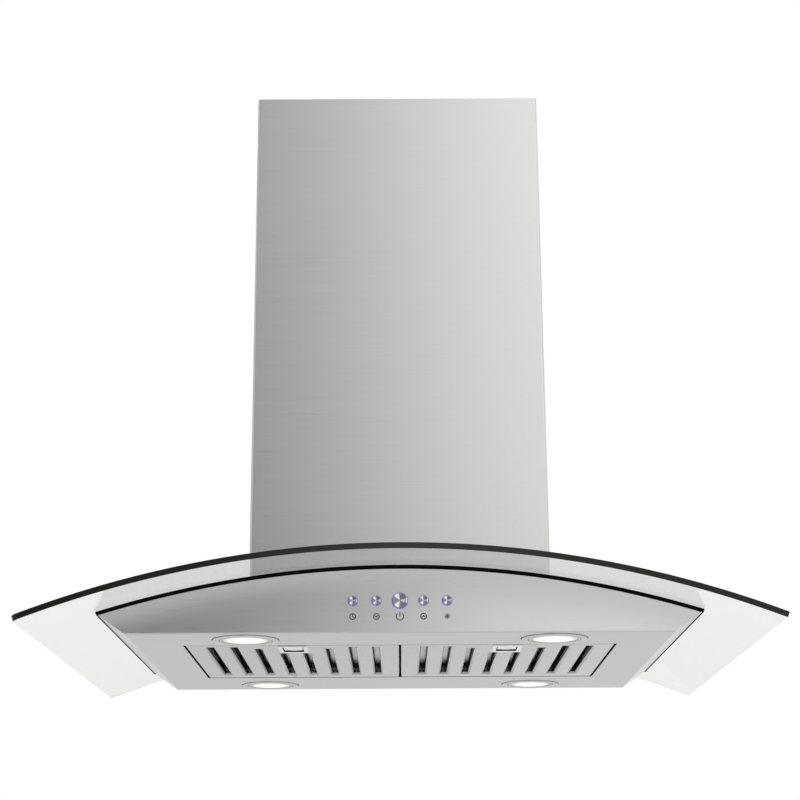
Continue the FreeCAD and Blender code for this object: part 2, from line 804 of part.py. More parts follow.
def make_frame_bolts():
    """Square-necked bolts that clamp the lower angles in the upper angles' slots."""
    bolts = []
    head_face = upper_angle_y + part_gap
    nut_face = lower_angle_y - angle_thickness
    half = frame_bolt_neck / 2
    for level in frame_bolt_levels():
        head = prism_on(Vector(bolt_x(), -head_face, level), Vector(0, -1, 0), hexagon,
                        frame_bolt_head_width, frame_bolt_head)
        neck = box(bolt_x() - half, bolt_x() + half, -head_face, -nut_face, level - half, level + half)
        nut = prism_on(Vector(bolt_x(), -nut_face, level), Y_AXIS, hexagon, frame_bolt_head_width,
                       frame_bolt_head)
        bolts += quarters(fused([head, neck, nut])).values()
    return Part.makeCompound(bolts)


# ---------------------------------------------------------------- motor box and outlet
motor_box_width = 2 * (lower_angle_x - angle_thickness)
motor_box_depth = 2 * (lower_angle_y - angle_thickness)


def make_motor_box():
    """Sheet box on the glass: walls cut to the arch, a lipped flange round the throat, the outlet above."""
    wall = motor_box_wall
    outer = centred_box(motor_box_width, motor_box_depth, pan_z, motor_box_top)
    inner = centred_box(motor_box_width - 2 * wall, motor_box_depth - 2 * wall, pan_z - wall,
                        motor_box_top - wall)
    seat = under_arch(glass_thickness, motor_box_width, motor_box_depth)
    shell = outer.cut(inner).cut(seat)
    flange = arch_sheet(glass_thickness, glass_thickness + wall, motor_box_width, motor_box_depth)
    mouth_width = throat_width + 2 * throat_lap_gap
    mouth_depth = throat_depth + 2 * throat_lap_gap
    lip = centred_box(mouth_width + 2 * wall, mouth_depth + 2 * wall, pan_z, throat_top())
    lip = lip.cut(seat)
    mouth = centred_box(mouth_width, mouth_depth, pan_z, throat_top() + wall)
    outlet_width = 2 * (collar_radius - collar_wall - outlet_ledge)
    outlet = centred_box(outlet_width, outlet_width, motor_box_top - 2 * wall, motor_box_top + wall)
    return fused([shell, flange, lip]).cut(mouth).cut(outlet)


def damper_axle_y():
    """Distance of each damper axle from the collar's middle."""
    return damper_axle_spacing / 2


def damper_axle_z():
    """Height of the damper axles, which lie on the motor box's top."""
    return motor_box_top + damper_axle_radius + running_clearance


def make_outlet_collar():
    """Round outlet collar on a square foot, with notches below that hold the damper axles."""
    base = Vector(0, 0, motor_box_top)
    bore = cylinder(base, Z_AXIS, collar_radius - collar_wall, collar_height)
    foot_width = 2 * (collar_radius + collar_foot)
    foot = centred_box(foot_width, foot_width, motor_box_top, motor_box_top + motor_box_wall)
    collar = fused([cylinder(base, Z_AXIS, collar_radius, collar_height), foot]).cut(bore)
    half = damper_axle_radius + running_clearance
    reach = collar_radius
    for y in (-damper_axle_y(), damper_axle_y()):
        collar = collar.cut(box(-reach, reach, y - half, y + half, motor_box_top - half, motor_box_top + 2 * half))
    return collar


def make_damper_flap():
    """Rear half-round flap with its axle, lying shut."""
    z = damper_axle_z()
    y = damper_axle_y()
    radius = collar_radius - collar_wall - damper_edge_gap
    plate = cylinder(Vector(0, 0, z - damper_thickness / 2), Z_AXIS, radius, damper_thickness)
    plate = plate.common(box(-radius, radius, y, radius, z - damper_thickness, z + damper_thickness))
    half_axle = collar_radius - collar_wall / 2
    axle = cylinder(Vector(-half_axle, y, z), X_AXIS, damper_axle_radius, 2 * half_axle)
    return fused([plate, axle])


# ---------------------------------------------------------------- blower
def scroll_outline(inset):
    """Face of the scroll's section: three quarter arcs of growing radius and the outlet's walls."""
    first = scroll_first_radius
    cy = scroll_centre_y
    cz = scroll_centre_z
    step = scroll_step
    radii = [first - inset, first + step - inset, first + 2 * step - inset]
    centres = [Vector(0, cy, cz), Vector(0, cy + step, cz), Vector(0, cy + step, cz + step)]

    def on_arc(k, degrees):
        angle = math.radians(degrees)
        return centres[k] + Vector(0, radii[k] * math.cos(angle), radii[k] * math.sin(angle))

    front_wall = scroll_outlet_front + inset
    cut_off = math.degrees(math.acos((front_wall - cy) / radii[0]))
    arcs = [(0, cut_off, 180.0), (1, 180.0, 270.0), (2, 270.0, 360.0)]
    edges = [Part.Arc(on_arc(k, a), on_arc(k, (a + b) / 2), on_arc(k, b)).toShape() for k, a, b in arcs]
    top = motor_box_top - motor_box_wall + inset
    rear_start = on_arc(2, 360.0)
    walls = Part.makePolygon([
        rear_start,
        Vector(0, rear_start.y, top),
        Vector(0, front_wall, top),
        on_arc(0, cut_off),
    ])
    return Part.Face(Part.Wire(edges + walls.Edges))


def make_scroll_housing():
    """Spiral blower casing: inlet on the right, opening behind the motor's flange, outlet upwards."""
    outer = scroll_outline(0.0)
    outer.translate(Vector(-scroll_width / 2, 0, 0))
    outer = outer.extrude(Vector(scroll_width, 0, 0))
    inner_width = scroll_width - 2 * scroll_wall
    inner = scroll_outline(scroll_wall)
    inner.translate(Vector(-inner_width / 2, 0, 0))
    inner = inner.extrude(Vector(inner_width, 0, 0))
    centre = Vector(0, scroll_centre_y, scroll_centre_z)
    inlet = cylinder(centre, X_AXIS, scroll_inlet_radius, scroll_width)
    half = motor_flange_width / 2 - motor_flange_lap
    opening = box(-scroll_width, 0, centre.y - half, centre.y + half, centre.z - half, centre.z + half)
    return outer.cut(inner).cut(inlet).cut(opening)


def blade_section():
    """Section of one forward-folded blade at the top of the wheel, in the plane of the wheel."""
    half = blade_thickness / 2
    middle = (wheel_inner_radius + wheel_radius) / 2
    spine = [(0, wheel_inner_radius), (blade_camber, middle), (0, wheel_radius)]
    front = [Vector(0, y - half, z) for y, z in spine]
    back = [Vector(0, y + half, z) for y, z in reversed(spine)]
    return Part.Face(Part.makePolygon(front + back + front[:1]))


def make_impeller():
    """Wheel with a back disc, an inlet ring, forward-folded blades, a hub and the motor's shaft.

    The disc and the ring have one flat per blade, so every blade ends on the same width of sheet.
    """
    left = Vector(-wheel_width / 2, scroll_centre_y, scroll_centre_z)
    ring_left = left + Vector(wheel_width - wheel_ring, 0, 0)
    outer_width = 2 * wheel_radius + blade_thickness
    inner_width = 2 * wheel_inner_radius - blade_thickness
    disc = prism_on(left, X_AXIS, blade_count, outer_width, wheel_disc)
    inlet_ring = prism_on(ring_left, X_AXIS, blade_count, outer_width, wheel_ring)
    inlet_ring = inlet_ring.cut(prism_on(ring_left, X_AXIS, blade_count, inner_width, wheel_ring))
    hub = prism_on(left, X_AXIS, hexagon, hub_width, hub_length)
    shaft_start = -(scroll_width + motor_length) / 2
    shaft = cylinder(Vector(shaft_start, left.y, left.z), X_AXIS, shaft_radius, left.x + hub_length - shaft_start)
    blade = blade_section().extrude(Vector(wheel_width - wheel_disc / 2 - wheel_ring / 2, 0, 0))
    blade.translate(left + Vector(wheel_disc / 2, 0, 0))
    blades = []
    for k in range(blade_count):
        turned = blade.copy()
        turned.rotate(left, X_AXIS, 360.0 * k / blade_count)
        blades.append(turned)
    return disc.multiFuse([inlet_ring, hub, shaft] + blades)


def make_motor():
    """Motor on a square flange on the scroll's left side, bored for the wheel's shaft."""
    face = Vector(-scroll_width / 2, scroll_centre_y, scroll_centre_z)
    body = prism_on(face, Vector(-1, 0, 0), octagon, motor_width, motor_length)
    half = motor_flange_width / 2
    flange = box(face.x - motor_flange, face.x, face.y - half, face.y + half, face.z - half, face.z + half)
    bore = cylinder(face, Vector(-1, 0, 0), shaft_radius + running_clearance, motor_bore_length)
    return fused([body, flange]).cut(bore)


# ---------------------------------------------------------------- wiring box
def wiring_box_width():
    """Width of the room between the motor box's edge and the outlet collar, less the gaps."""
    return motor_box_width / 2 - collar_radius - 2 * wiring_box_gap


def wiring_box_x():
    """Middle of the wiring box, beside the outlet collar."""
    return -motor_box_width / 2 + wiring_box_gap + wiring_box_width() / 2


def make_wiring_box():
    """Closed terminal box on the motor box."""
    return centred_box(wiring_box_width(), wiring_box_depth, motor_box_top, motor_box_top + wiring_box_height,
                       wiring_box_x())


def gland_start():
    """Foot of the cable gland on the wiring box's lid."""
    return Vector(wiring_box_x(), wiring_box_depth / 4, motor_box_top + wiring_box_height)


def make_cable_gland():
    """Hexagonal cable gland with the bore for the mains lead."""
    foot = gland_start()
    gland = prism_on(foot, Z_AXIS, hexagon, gland_width, gland_length)
    return gland.cut(cylinder(foot, Z_AXIS, gland_bore_radius, gland_length))


# ---------------------------------------------------------------- the whole hood
def ceiling_parts():
    """Everything that stays on the ceiling."""
    cover_front, cover_rear = make_upper_cover()
    parts = {
        "ceiling_plate": make_ceiling_plate(),
        "upper_cover_front": cover_front,
        "upper_cover_rear": cover_rear,
    }
    for corner, bar in quarters(make_upper_angle()).items():
        parts[f"upper_angle_{corner}"] = bar
    return parts


def chimney_parts():
    """Frame, covers, motor box and blower that hang below."""
    cover_front, cover_rear = make_lower_cover()
    flap = make_damper_flap()
    parts = {
        "frame_bolts": make_frame_bolts(),
        "lower_cover_front": cover_front,
        "lower_cover_rear": cover_rear,
        "motor_box": make_motor_box(),
        "outlet_collar": make_outlet_collar(),
        "damper_flap_front": flap.mirror(Vector(0, 0, 0), Y_AXIS),
        "damper_flap_rear": flap,
        "scroll_housing": make_scroll_housing(),
        "impeller": make_impeller(),
        "motor": make_motor(),
        "wiring_box": make_wiring_box(),
        "cable_gland": make_cable_gland(),
    }
    for corner, bar in quarters(make_lower_angle()).items():
        parts[f"lower_angle_{corner}"] = bar
    return parts


def canopy_parts():
    """Glass, body, lamps and controls."""
    side = make_side_panel()
    parts = {
        "glass_canopy": make_glass_canopy(),
        "glass_seal": make_glass_seal(),
        "body_wrap": make_body_wrap(),
        "side_panel_left": mirrored_x(side),
        "side_panel_right": side,
        "body_top": make_body_top(),
        "filter_guides": make_filter_guides(),
        "lamp_bezels": make_lamp_bezels(),
        "lamp_lenses": make_lamp_lenses(),
        "lamp_bodies": make_lamp_bodies(),
        "light_guide": make_light_guide(),
        "control_board": make_control_board(),
        "control_cover": make_control_cover(),
    }
    for name, x, radius in button_places():
        parts[f"button_{name}"] = make_button(x, radius)
    return parts


def filter_parts():
    """Both baffle filters with their latches."""
    pieces = {
        "filter_{}_face": make_filter_face(),
        "filter_{}_baffles": make_filter_baffles(),
        "latch_{}_plate": make_latch_plate(),
        "latch_{}_slide": make_latch_slide(),
        "latch_{}_spring": make_latch_spring(),
    }
    parts = {}
    for side, x in (("left", -filter_centre), ("right", filter_centre)):
        for name, shape in pieces.items():
            parts[name.format(side)] = shape.translated(Vector(x, 0, 0))
    return parts


def main():
    """Write one file per piece."""
    os.makedirs("parts", exist_ok=True)
    parts = {**ceiling_parts(), **chimney_parts(), **canopy_parts(), **filter_parts()}
    for name, shape in parts.items():
        if not shape.isValid():
            print("not valid:", name)
        shape.exportStep(f"parts/{name}.step")
    print(len(parts), "nodes,", sum(len(shape.Solids) for shape in parts.values()), "solids")


main()
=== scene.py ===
"""Ceiling-hung curved glass range hood: finishes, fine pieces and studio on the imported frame.

Every length is in metres in the row frame: the origin is the middle of the ceiling plate's top
face, +Z is up and the front is -Y. Each sub-assembly is a class that builds its own meshes.
"""
from __future__ import annotations

import json
import logging
import math
from collections.abc import Iterable, Sequence
from dataclasses import dataclass, field
from enum import Enum

import bmesh
import bpy
from bmesh.types import BMEdge, BMesh, BMVert
from mathutils import Matrix, Vector

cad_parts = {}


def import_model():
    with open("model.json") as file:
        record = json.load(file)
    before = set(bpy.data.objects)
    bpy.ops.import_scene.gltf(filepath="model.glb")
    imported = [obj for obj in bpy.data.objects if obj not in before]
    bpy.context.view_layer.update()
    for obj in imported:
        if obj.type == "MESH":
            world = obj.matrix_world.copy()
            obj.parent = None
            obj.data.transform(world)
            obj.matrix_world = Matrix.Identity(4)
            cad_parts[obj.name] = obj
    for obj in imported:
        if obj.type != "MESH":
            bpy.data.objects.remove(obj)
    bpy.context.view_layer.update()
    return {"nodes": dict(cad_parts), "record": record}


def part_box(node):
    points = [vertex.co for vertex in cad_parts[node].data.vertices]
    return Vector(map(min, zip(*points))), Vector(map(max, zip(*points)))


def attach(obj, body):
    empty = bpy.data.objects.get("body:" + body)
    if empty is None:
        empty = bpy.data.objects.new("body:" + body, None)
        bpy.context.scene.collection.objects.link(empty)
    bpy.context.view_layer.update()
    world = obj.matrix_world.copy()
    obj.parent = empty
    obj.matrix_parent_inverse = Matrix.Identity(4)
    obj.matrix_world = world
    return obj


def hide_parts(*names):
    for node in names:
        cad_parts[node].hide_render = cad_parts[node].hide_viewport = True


log = logging.getLogger("hood")

MM = 0.001
WELD = 1e-6
QUARTER_TURN = math.radians(90)
SHARP_ANGLE = math.radians(32)
FLAT_FROM = 2.4 * MM
POLAR_MAP = "polar"
NOISE_RANGE = (0.3, 0.7)

Point = tuple[float, float, float]
Colour = tuple[float, float, float]
Profile = Sequence[tuple[float, float]]
Socket = bpy.types.NodeSocket


# ------------------------------------------------------------------------------ shared sizes
@dataclass(frozen=True)
class HoodSizes:
    """Sizes that several sub-assemblies share, as in the CAD source.

    Attributes:
        drop: From the ceiling down to the underside of the pan.
        sheet: Thickness of the body's sheet.
        glass_width: Width of the glass.
        glass_depth: Depth of the glass.
        glass_thickness: Thickness of the glass.
        glass_rise: Height of the arch's underside over its ends.
        cutout_width: Width of the air cut-out in the glass.
        cutout_depth: Depth of the air cut-out.
        body_depth: Depth of the body, from front panel to rear panel.
        button_height: Height of the buttons' axes over the pan.
    """

    drop: float = 0.638
    sheet: float = 1.0 * MM
    glass_width: float = 0.750
    glass_depth: float = 0.610
    glass_thickness: float = 6.0 * MM
    glass_rise: float = 70.0 * MM
    cutout_width: float = 0.236
    cutout_depth: float = 0.186
    body_depth: float = 0.442
    button_height: float = 33.0 * MM

    @property
    def pan_z(self) -> float:
        """Height of the underside of the pan."""
        return -self.drop

    @property
    def body_front(self) -> float:
        """Y of the front panel's face."""
        return -self.body_depth / 2

    @property
    def button_z(self) -> float:
        """Height of the buttons' axes."""
        return self.pan_z + self.button_height

    @property
    def arch_radius(self) -> float:
        """Radius of the underside of the glass."""
        half = self.glass_width / 2
        return (half**2 + self.glass_rise**2) / (2 * self.glass_rise)

    @property
    def arch_axis_z(self) -> float:
        """Height of the arch's axis."""
        return self.pan_z + self.glass_rise - self.arch_radius


SIZES = HoodSizes()


# ------------------------------------------------------------------------------ node graphs
class NodeGraph:
    """A node tree, and short ways to add nodes to it."""

    def __init__(self, owner: bpy.types.Material | bpy.types.World) -> None:
        """Starts an empty tree.

        Args:
            owner: Material or world that the tree belongs to.
        """
        owner.use_nodes = True
        self.tree = owner.node_tree
        self.tree.nodes.clear()

    def node(self, kind: str, **settings: object) -> bpy.types.Node:
        """Adds a node.

        Args:
            kind: Node type without its ShaderNode prefix.
            **settings: Properties to set on it.

        Returns:
            The new node.
        """
        made = self.tree.nodes.new("ShaderNode" + kind)
        for key, value in settings.items():
            setattr(made, key, value)
        return made

    def link(self, source: Socket, target: Socket) -> None:
        """Joins an output to an input."""
        self.tree.links.new(source, target)

    def split(self, vector: Socket) -> tuple[Socket, ...]:
        """Splits a vector.

        Args:
            vector: Vector to split.

        Returns:
            Its x, y and z.
        """
        made = self.node("SeparateXYZ")
        self.link(vector, made.inputs["Vector"])
        return tuple(made.outputs)

    def math(self, operation: str, first: Socket, second: Socket | float = 0.0) -> Socket:
        """Arithmetic on two values.

        Args:
            operation: Name of the operation.
            first: First value.
            second: Second value, a socket or a number.

        Returns:
            The result.
        """
        made = self.node("Math", operation=operation)
        self.link(first, made.inputs[0])
        if isinstance(second, (int, float)):
            made.inputs[1].default_value = second
        else:
            self.link(second, made.inputs[1])
        return made.outputs[0]

    def spread(self, value: Socket, low: float, high: float, start: float = 0.0, end: float = 1.0,
               smooth: bool = False) -> Socket:
        """Maps a value from start..end to low..high.

        Args:
            value: Value to map.
            low: Result at the start.
            high: Result at the end.
            start: Value that gives low.
            end: Value that gives high.
            smooth: True for a soft start and end.

        Returns:
            The mapped value.
        """
        made = self.node("MapRange", interpolation_type="SMOOTHSTEP" if smooth else "LINEAR")
        numbers = {"From Min": start, "From Max": end, "To Min": low, "To Max": high}
        for key, number in numbers.items():
            made.inputs[key].default_value = number
        self.link(value, made.inputs["Value"])
        return made.outputs["Result"]

    def choice(self, test: Socket, off: Socket, on: Socket | float) -> Socket:
        """One of two values.

        Args:
            test: 0 for the first value, 1 for the second.
            off: First value.
            on: Second value, a socket or a number.

        Returns:
            The chosen value.
        """
        made = self.node("Mix", data_type="FLOAT")
        self.link(test, made.inputs[0])
        self.link(off, made.inputs[2])
        if isinstance(on, (int, float)):
            made.inputs[3].default_value = on
        else:
            self.link(on, made.inputs[3])
        return made.outputs[0]


class MaterialGraph(NodeGraph):
    """A material's node tree with one Principled shader."""

    def __init__(self, name: str) -> None:
        """Starts the graph.

        Args:
            name: Name of the material.
        """
        self.material = bpy.data.materials.new(name)
        super().__init__(self.material)
        self.output = self.node("OutputMaterial")
        self.shader = self.node("BsdfPrincipled")
        self.link(self.shader.outputs["BSDF"], self.output.inputs["Surface"])

    def set(self, **values: object) -> None:
        """Sets constants on the shader's own sockets.

        Args:
            **values: Values by socket name, written with underscores for spaces.
        """
        for key, value in values.items():
            socket = self.shader.inputs[key.replace("_", " ")]
            colour = socket.type == "RGBA" and len(value) == 3
            socket.default_value = (*value, 1.0) if colour else value

    def object_coords(self, scale: Point = (1, 1, 1)) -> Socket:
        """Object coordinates, stretched.

        Args:
            scale: Factor for each axis.

        Returns:
            The vector output.
        """
        mapping = self.node("Mapping")
        mapping.inputs["Scale"].default_value = scale
        self.link(self.node("TexCoord").outputs["Object"], mapping.inputs["Vector"])
        return mapping.outputs["Vector"]

    def polar_coords(self) -> tuple[Socket, Socket]:
        """The turn, from 0 to 1, and the radius of the piece's own polar map."""
        turned, radial, _ = self.split(self.node("UVMap", uv_map=POLAR_MAP).outputs["UV"])
        return turned, radial

    def noise(self, vector: Socket, scale: float, detail: float = 2.0,
              roughness: float = 0.5) -> Socket:
        """Noise pattern.

        Args:
            vector: Coordinates to read.
            scale: Repeats per unit of them.
            detail: Octaves.
            roughness: Weight of the finer octaves.

        Returns:
            The factor output, from 0 to 1.
        """
        made = self.node("TexNoise")
        for key, number in {"Scale": scale, "Detail": detail, "Roughness": roughness}.items():
            made.inputs[key].default_value = number
        self.link(vector, made.inputs["Vector"])
        return made.outputs["Fac"]

    def ramp(self, value: Socket, low: Colour, high: Colour, start: float = 0.0,
             end: float = 1.0) -> Socket:
        """Colour between two stops.

        Args:
            value: Value to read.
            low: Colour at the start.
            high: Colour at the end.
            start: Place of the first stop.
            end: Place of the second stop.

        Returns:
            The colour output.
        """
        made = self.node("ValToRGB")
        first, second = made.color_ramp.elements
        first.position, first.color = start, (*low, 1.0)
        second.position, second.color = end, (*high, 1.0)
        self.link(value, made.inputs["Fac"])
        return made.outputs["Color"]

    def colour(self, source: Socket) -> None:
        """Feeds the shader's base colour."""
        self.link(source, self.shader.inputs["Base Color"])

    def roughness(self, source: Socket) -> None:
        """Feeds the shader's roughness."""
        self.link(source, self.shader.inputs["Roughness"])

    def noisy_colour(self, noise: Socket, low: Colour, high: Colour) -> None:
        """Feeds the base colour with two colours that follow a noise pattern."""
        self.colour(self.ramp(noise, low, high, *NOISE_RANGE))

    def noisy_roughness(self, noise: Socket, low: float, high: float) -> None:
        """Feeds the roughness with values that follow a noise pattern."""
        self.roughness(self.spread(noise, low, high, *NOISE_RANGE))

    def bump(self, height: Socket, strength: float, distance: float) -> None:
        """Feeds the shader's normal from a height.

        Args:
            height: Height pattern.
            strength: How much of it shows, from 0 to 1.
            distance: Depth of the pattern in metres.
        """
        made = self.node("Bump")
        made.inputs["Strength"].default_value = strength
        made.inputs["Distance"].default_value = distance
        self.link(height, made.inputs["Height"])
        self.link(made.outputs["Normal"], self.shader.inputs["Normal"])

    def tangent(self, direction: Point) -> None:
        """Stretches the highlights along a direction.

        Args:
            direction: Direction in the piece's own space.
        """
        made = self.node("CombineXYZ")
        for socket, value in zip(made.inputs, direction):
            socket.default_value = value
        self.link(made.outputs["Vector"], self.shader.inputs["Tangent"])

    def shaded(self, colour: Socket, amount: Socket, shade: float) -> Socket:
        """Darkens a colour by an amount.

        Args:
            colour: Colour to darken.
            amount: How far, from 0 to 1.
            shade: What is left of the colour at 1.

        Returns:
            The colour output.
        """
        made = self.node("Mix", data_type="RGBA", blend_type="MULTIPLY")
        self.link(amount, made.inputs[0])
        self.link(colour, made.inputs[6])
        made.inputs[7].default_value = (shade, shade, shade, 1.0)
        return made.outputs[2]

    def plain_where(self, test: Socket, strength: float) -> None:
        """Shows one plain tone in place of the shading.

        Args:
            test: 1 where the tone is shown, 0 where the shading stays.
            strength: The tone.
        """
        plain = self.node("Emission")
        plain.inputs["Strength"].default_value = strength
        choice = self.node("MixShader")
        self.link(test, choice.inputs[0])
        self.link(self.shader.outputs["BSDF"], choice.inputs[1])
        self.link(plain.outputs["Emission"], choice.inputs[2])
        self.link(choice.outputs["Shader"], self.output.inputs["Surface"])


def scaled(colour: Colour, factor: float) -> Colour:
    """A colour made darker or lighter, with no part over 1."""
    return tuple(min(1.0, factor * part) for part in colour)


# ------------------------------------------------------------------------------ finishes
class Grain(Enum):
    """Which way the brush lines of a sheet run, with the axis that highlights stretch along."""

    CHIMNEY = ((5.0, 5.0, 500.0), (0.0, 0.0, 1.0))
    ALONG_WIDTH = ((5.0, 500.0, 500.0), (0.0, 1.0, 1.0))
    ALONG_DEPTH = ((500.0, 5.0, 500.0), (1.0, 0.0, 0.0))


@dataclass(frozen=True)
class BrushedSteel:
    """Stainless sheet with fine brush lines.

    Attributes:
        name: Name of the material.
        grain: Direction of the brush lines.
        tone: Mean linear reflectance.
        contrast: How far single lines differ from the mean.
        gloss: Mean roughness.
        lip_shade: Share of the tone left on lips that face along +x, in the shadow of their slot.
        fine_share: Share of the fine lines in the pattern, against the broad ones.
        warmth: Blue part of the tone, against its red and green.
    """

    name: str
    grain: Grain
    tone: float = 0.64
    contrast: float = 0.022
    gloss: float = 0.30
    lip_shade: float = 1.0
    fine_share: float = 0.8
    warmth: float = 0.99

    def make(self) -> bpy.types.Material:
        """Builds the material."""
        graph = MaterialGraph(self.name)
        scale, stretch = self.grain.value
        lines = graph.object_coords(scale)
        fine = graph.noise(lines, scale=3.4, detail=3.0, roughness=0.65)
        broad = graph.noise(lines, scale=0.55)
        blend = graph.math("ADD", graph.math("MULTIPLY", fine, self.fine_share),
                           graph.math("MULTIPLY", broad, 1.0 - self.fine_share))
        low, high = self.tone - self.contrast, self.tone + self.contrast
        colour = graph.ramp(blend, (low, low, low * self.warmth),
                            (high, high, high * self.warmth), *NOISE_RANGE)
        if self.lip_shade < 1.0:
            across, _, _ = graph.split(graph.node("TexCoord").outputs["Normal"])
            shadow = graph.spread(across, 0.0, 1.0, start=0.1, end=0.8)
            colour = graph.shaded(colour, shadow, self.lip_shade)
        graph.colour(colour)
        graph.noisy_roughness(blend, self.gloss - 0.03, self.gloss + 0.03)
        graph.bump(fine, strength=0.08, distance=0.01 * MM)
        graph.set(Metallic=1.0, Anisotropic=0.65)
        graph.tangent(stretch)
        return graph.material


@dataclass(frozen=True)
class ZincSheet:
    """Zinc coated sheet with a faint spangle.

    Attributes:
        name: Name of the material.
        dull: Colour of the dullest cells.
        clear: Colour of the brightest cells.
    """

    name: str = "zinc_sheet"
    dull: Colour = (0.44, 0.46, 0.47)
    clear: Colour = (0.60, 0.62, 0.63)

    def make(self) -> bpy.types.Material:
        """Builds the material."""
        graph = MaterialGraph(self.name)
        cells = graph.node("TexVoronoi", feature="F1")
        cells.inputs["Scale"].default_value = 95.0
        graph.link(graph.object_coords(), cells.inputs["Vector"])
        tone = graph.node("SeparateColor")
        graph.link(cells.outputs["Color"], tone.inputs["Color"])
        graph.colour(graph.ramp(tone.outputs["Red"], self.dull, self.clear))
        graph.roughness(graph.spread(tone.outputs["Green"], 0.32, 0.50))
        graph.bump(tone.outputs["Blue"], strength=0.15, distance=0.04 * MM)
        graph.set(Metallic=1.0)
        return graph.material


@dataclass(frozen=True)
class ClearGlass:
    """Clear float glass with the green depth of its edge.

    Attributes:
        name: Name of the material.
        depth_tint: Colour that a long path through it takes.
        density: Absorption per metre of path.
    """

    name: str = "canopy_glass"
    depth_tint: Colour = (0.44, 0.42, 0.26)
    density: float = 9.0

    def make(self) -> bpy.types.Material:
        """Builds the material."""
        graph = MaterialGraph(self.name)
        smears = graph.noise(graph.object_coords(), scale=14.0, detail=3.0)
        graph.roughness(graph.spread(smears, 0.0, 0.012, start=0.45, end=0.8))
        graph.set(Base_Color=(1.0, 1.0, 1.0), Transmission_Weight=1.0, IOR=1.5)
        body = graph.node("VolumeAbsorption")
        body.inputs["Color"].default_value = (*self.depth_tint, 1.0)
        body.inputs["Density"].default_value = self.density
        graph.link(body.outputs["Volume"], graph.output.inputs["Volume"])
        return graph.material


@dataclass(frozen=True)
class Moulded:
    """Rubber or moulded plastic with a fine grain.

    Attributes:
        name: Name of the material.
        tint: Mean colour.
        gloss: Mean roughness.
        grain: Depth of the surface grain in metres.
    """

    name: str
    tint: Colour
    gloss: float = 0.5
    grain: float = 0.03 * MM

    def make(self) -> bpy.types.Material:
        """Builds the material."""
        graph = MaterialGraph(self.name)
        coords = graph.object_coords()
        cloud = graph.noise(coords, scale=40.0, detail=3.0)
        graph.noisy_colour(cloud, scaled(self.tint, 0.88), scaled(self.tint, 1.12))
        graph.noisy_roughness(cloud, self.gloss - 0.06, self.gloss + 0.06)
        speckle = graph.noise(coords, scale=1600.0, detail=1.0)
        graph.bump(speckle, strength=0.35, distance=self.grain)
        return graph.material


@dataclass(frozen=True)
class BareMetal:
    """Bright pressed, plated or plain metal with slight handling marks.

    Attributes:
        name: Name of the material.
        tint: Mean colour.
        gloss: Mean roughness.
    """

    name: str
    tint: Colour
    gloss: float = 0.2

    def make(self) -> bpy.types.Material:
        """Builds the material."""
        graph = MaterialGraph(self.name)
        marks = graph.noise(graph.object_coords(), scale=180.0, detail=4.0, roughness=0.6)
        graph.colour(graph.ramp(marks, scaled(self.tint, 0.9), self.tint, start=0.35, end=0.65))
        graph.noisy_roughness(marks, self.gloss - 0.05, self.gloss + 0.07)
        graph.bump(marks, strength=0.1, distance=0.04 * MM)
        graph.set(Metallic=1.0)
        return graph.material


@dataclass(frozen=True)
class SpunMetal:
    """Turned metal with circular lines that follow the piece's own polar map, and bright fans of
    painted sheen in its colour.

    Attributes:
        name: Name of the material.
        sheen_fans: Number of bright fans of painted sheen round the face.
        dark: Painted shade colour between the fans.
        bright: Painted sheen colour in the fans.
    """

    name: str = "spun_metal"
    sheen_fans: int = 3
    dark: Colour = (0.30, 0.30, 0.32)
    bright: Colour = (0.92, 0.92, 0.95)

    def make(self) -> bpy.types.Material:
        """Builds the material."""
        graph = MaterialGraph(self.name)
        turned, radial = graph.polar_coords()
        rings = graph.node("CombineXYZ")
        graph.link(radial, rings.inputs["X"])
        lines = graph.noise(rings.outputs["Vector"], scale=60.0)
        # Painted sheen: the colour turns from dark to bright in fans round the axis, in place of a
        # real conic highlight.
        sheen_wave = graph.math("COSINE", graph.math("MULTIPLY", turned, self.sheen_fans * math.tau))
        graph.colour(graph.ramp(sheen_wave, self.dark, self.bright, end=0.8))
        graph.noisy_roughness(lines, 0.20, 0.32)
        graph.bump(lines, strength=0.3, distance=0.02 * MM)
        graph.set(Metallic=1.0, Anisotropic=0.8, Anisotropic_Rotation=0.25)
        turn = graph.node("Tangent", direction_type="UV_MAP", uv_map=POLAR_MAP)
        graph.link(turn.outputs["Tangent"], graph.shader.inputs["Tangent"])
        return graph.material


@dataclass(frozen=True)
class FrostedLens:
    """Frosted lamp lens, brightest in its middle.

    Attributes:
        name: Name of the material.
        middle: Colour in the middle.
        rim: Colour at the rim, darker as painted shade.
        glow: Colour of its light.
    """

    name: str = "lamp_lens"
    middle: Colour = (0.80, 0.80, 0.77)
    rim: Colour = (0.42, 0.43, 0.38)
    glow: Colour = (1.0, 0.99, 0.95)

    def make(self) -> bpy.types.Material:
        """Builds the material."""
        graph = MaterialGraph(self.name)
        _, radial = graph.polar_coords()
        frost = graph.noise(graph.object_coords(), scale=900.0)
        # Painted shade: the colour darkens from the middle towards the rim.
        graph.colour(graph.ramp(radial, self.middle, self.rim, start=0.80))
        graph.noisy_roughness(frost, 0.40, 0.55)
        graph.bump(frost, strength=0.2, distance=0.03 * MM)
        graph.set(Emission_Color=self.glow)
        light = graph.spread(radial, 0.42, 0.02, start=0.55)
        graph.link(light, graph.shader.inputs["Emission Strength"])
        return graph.material


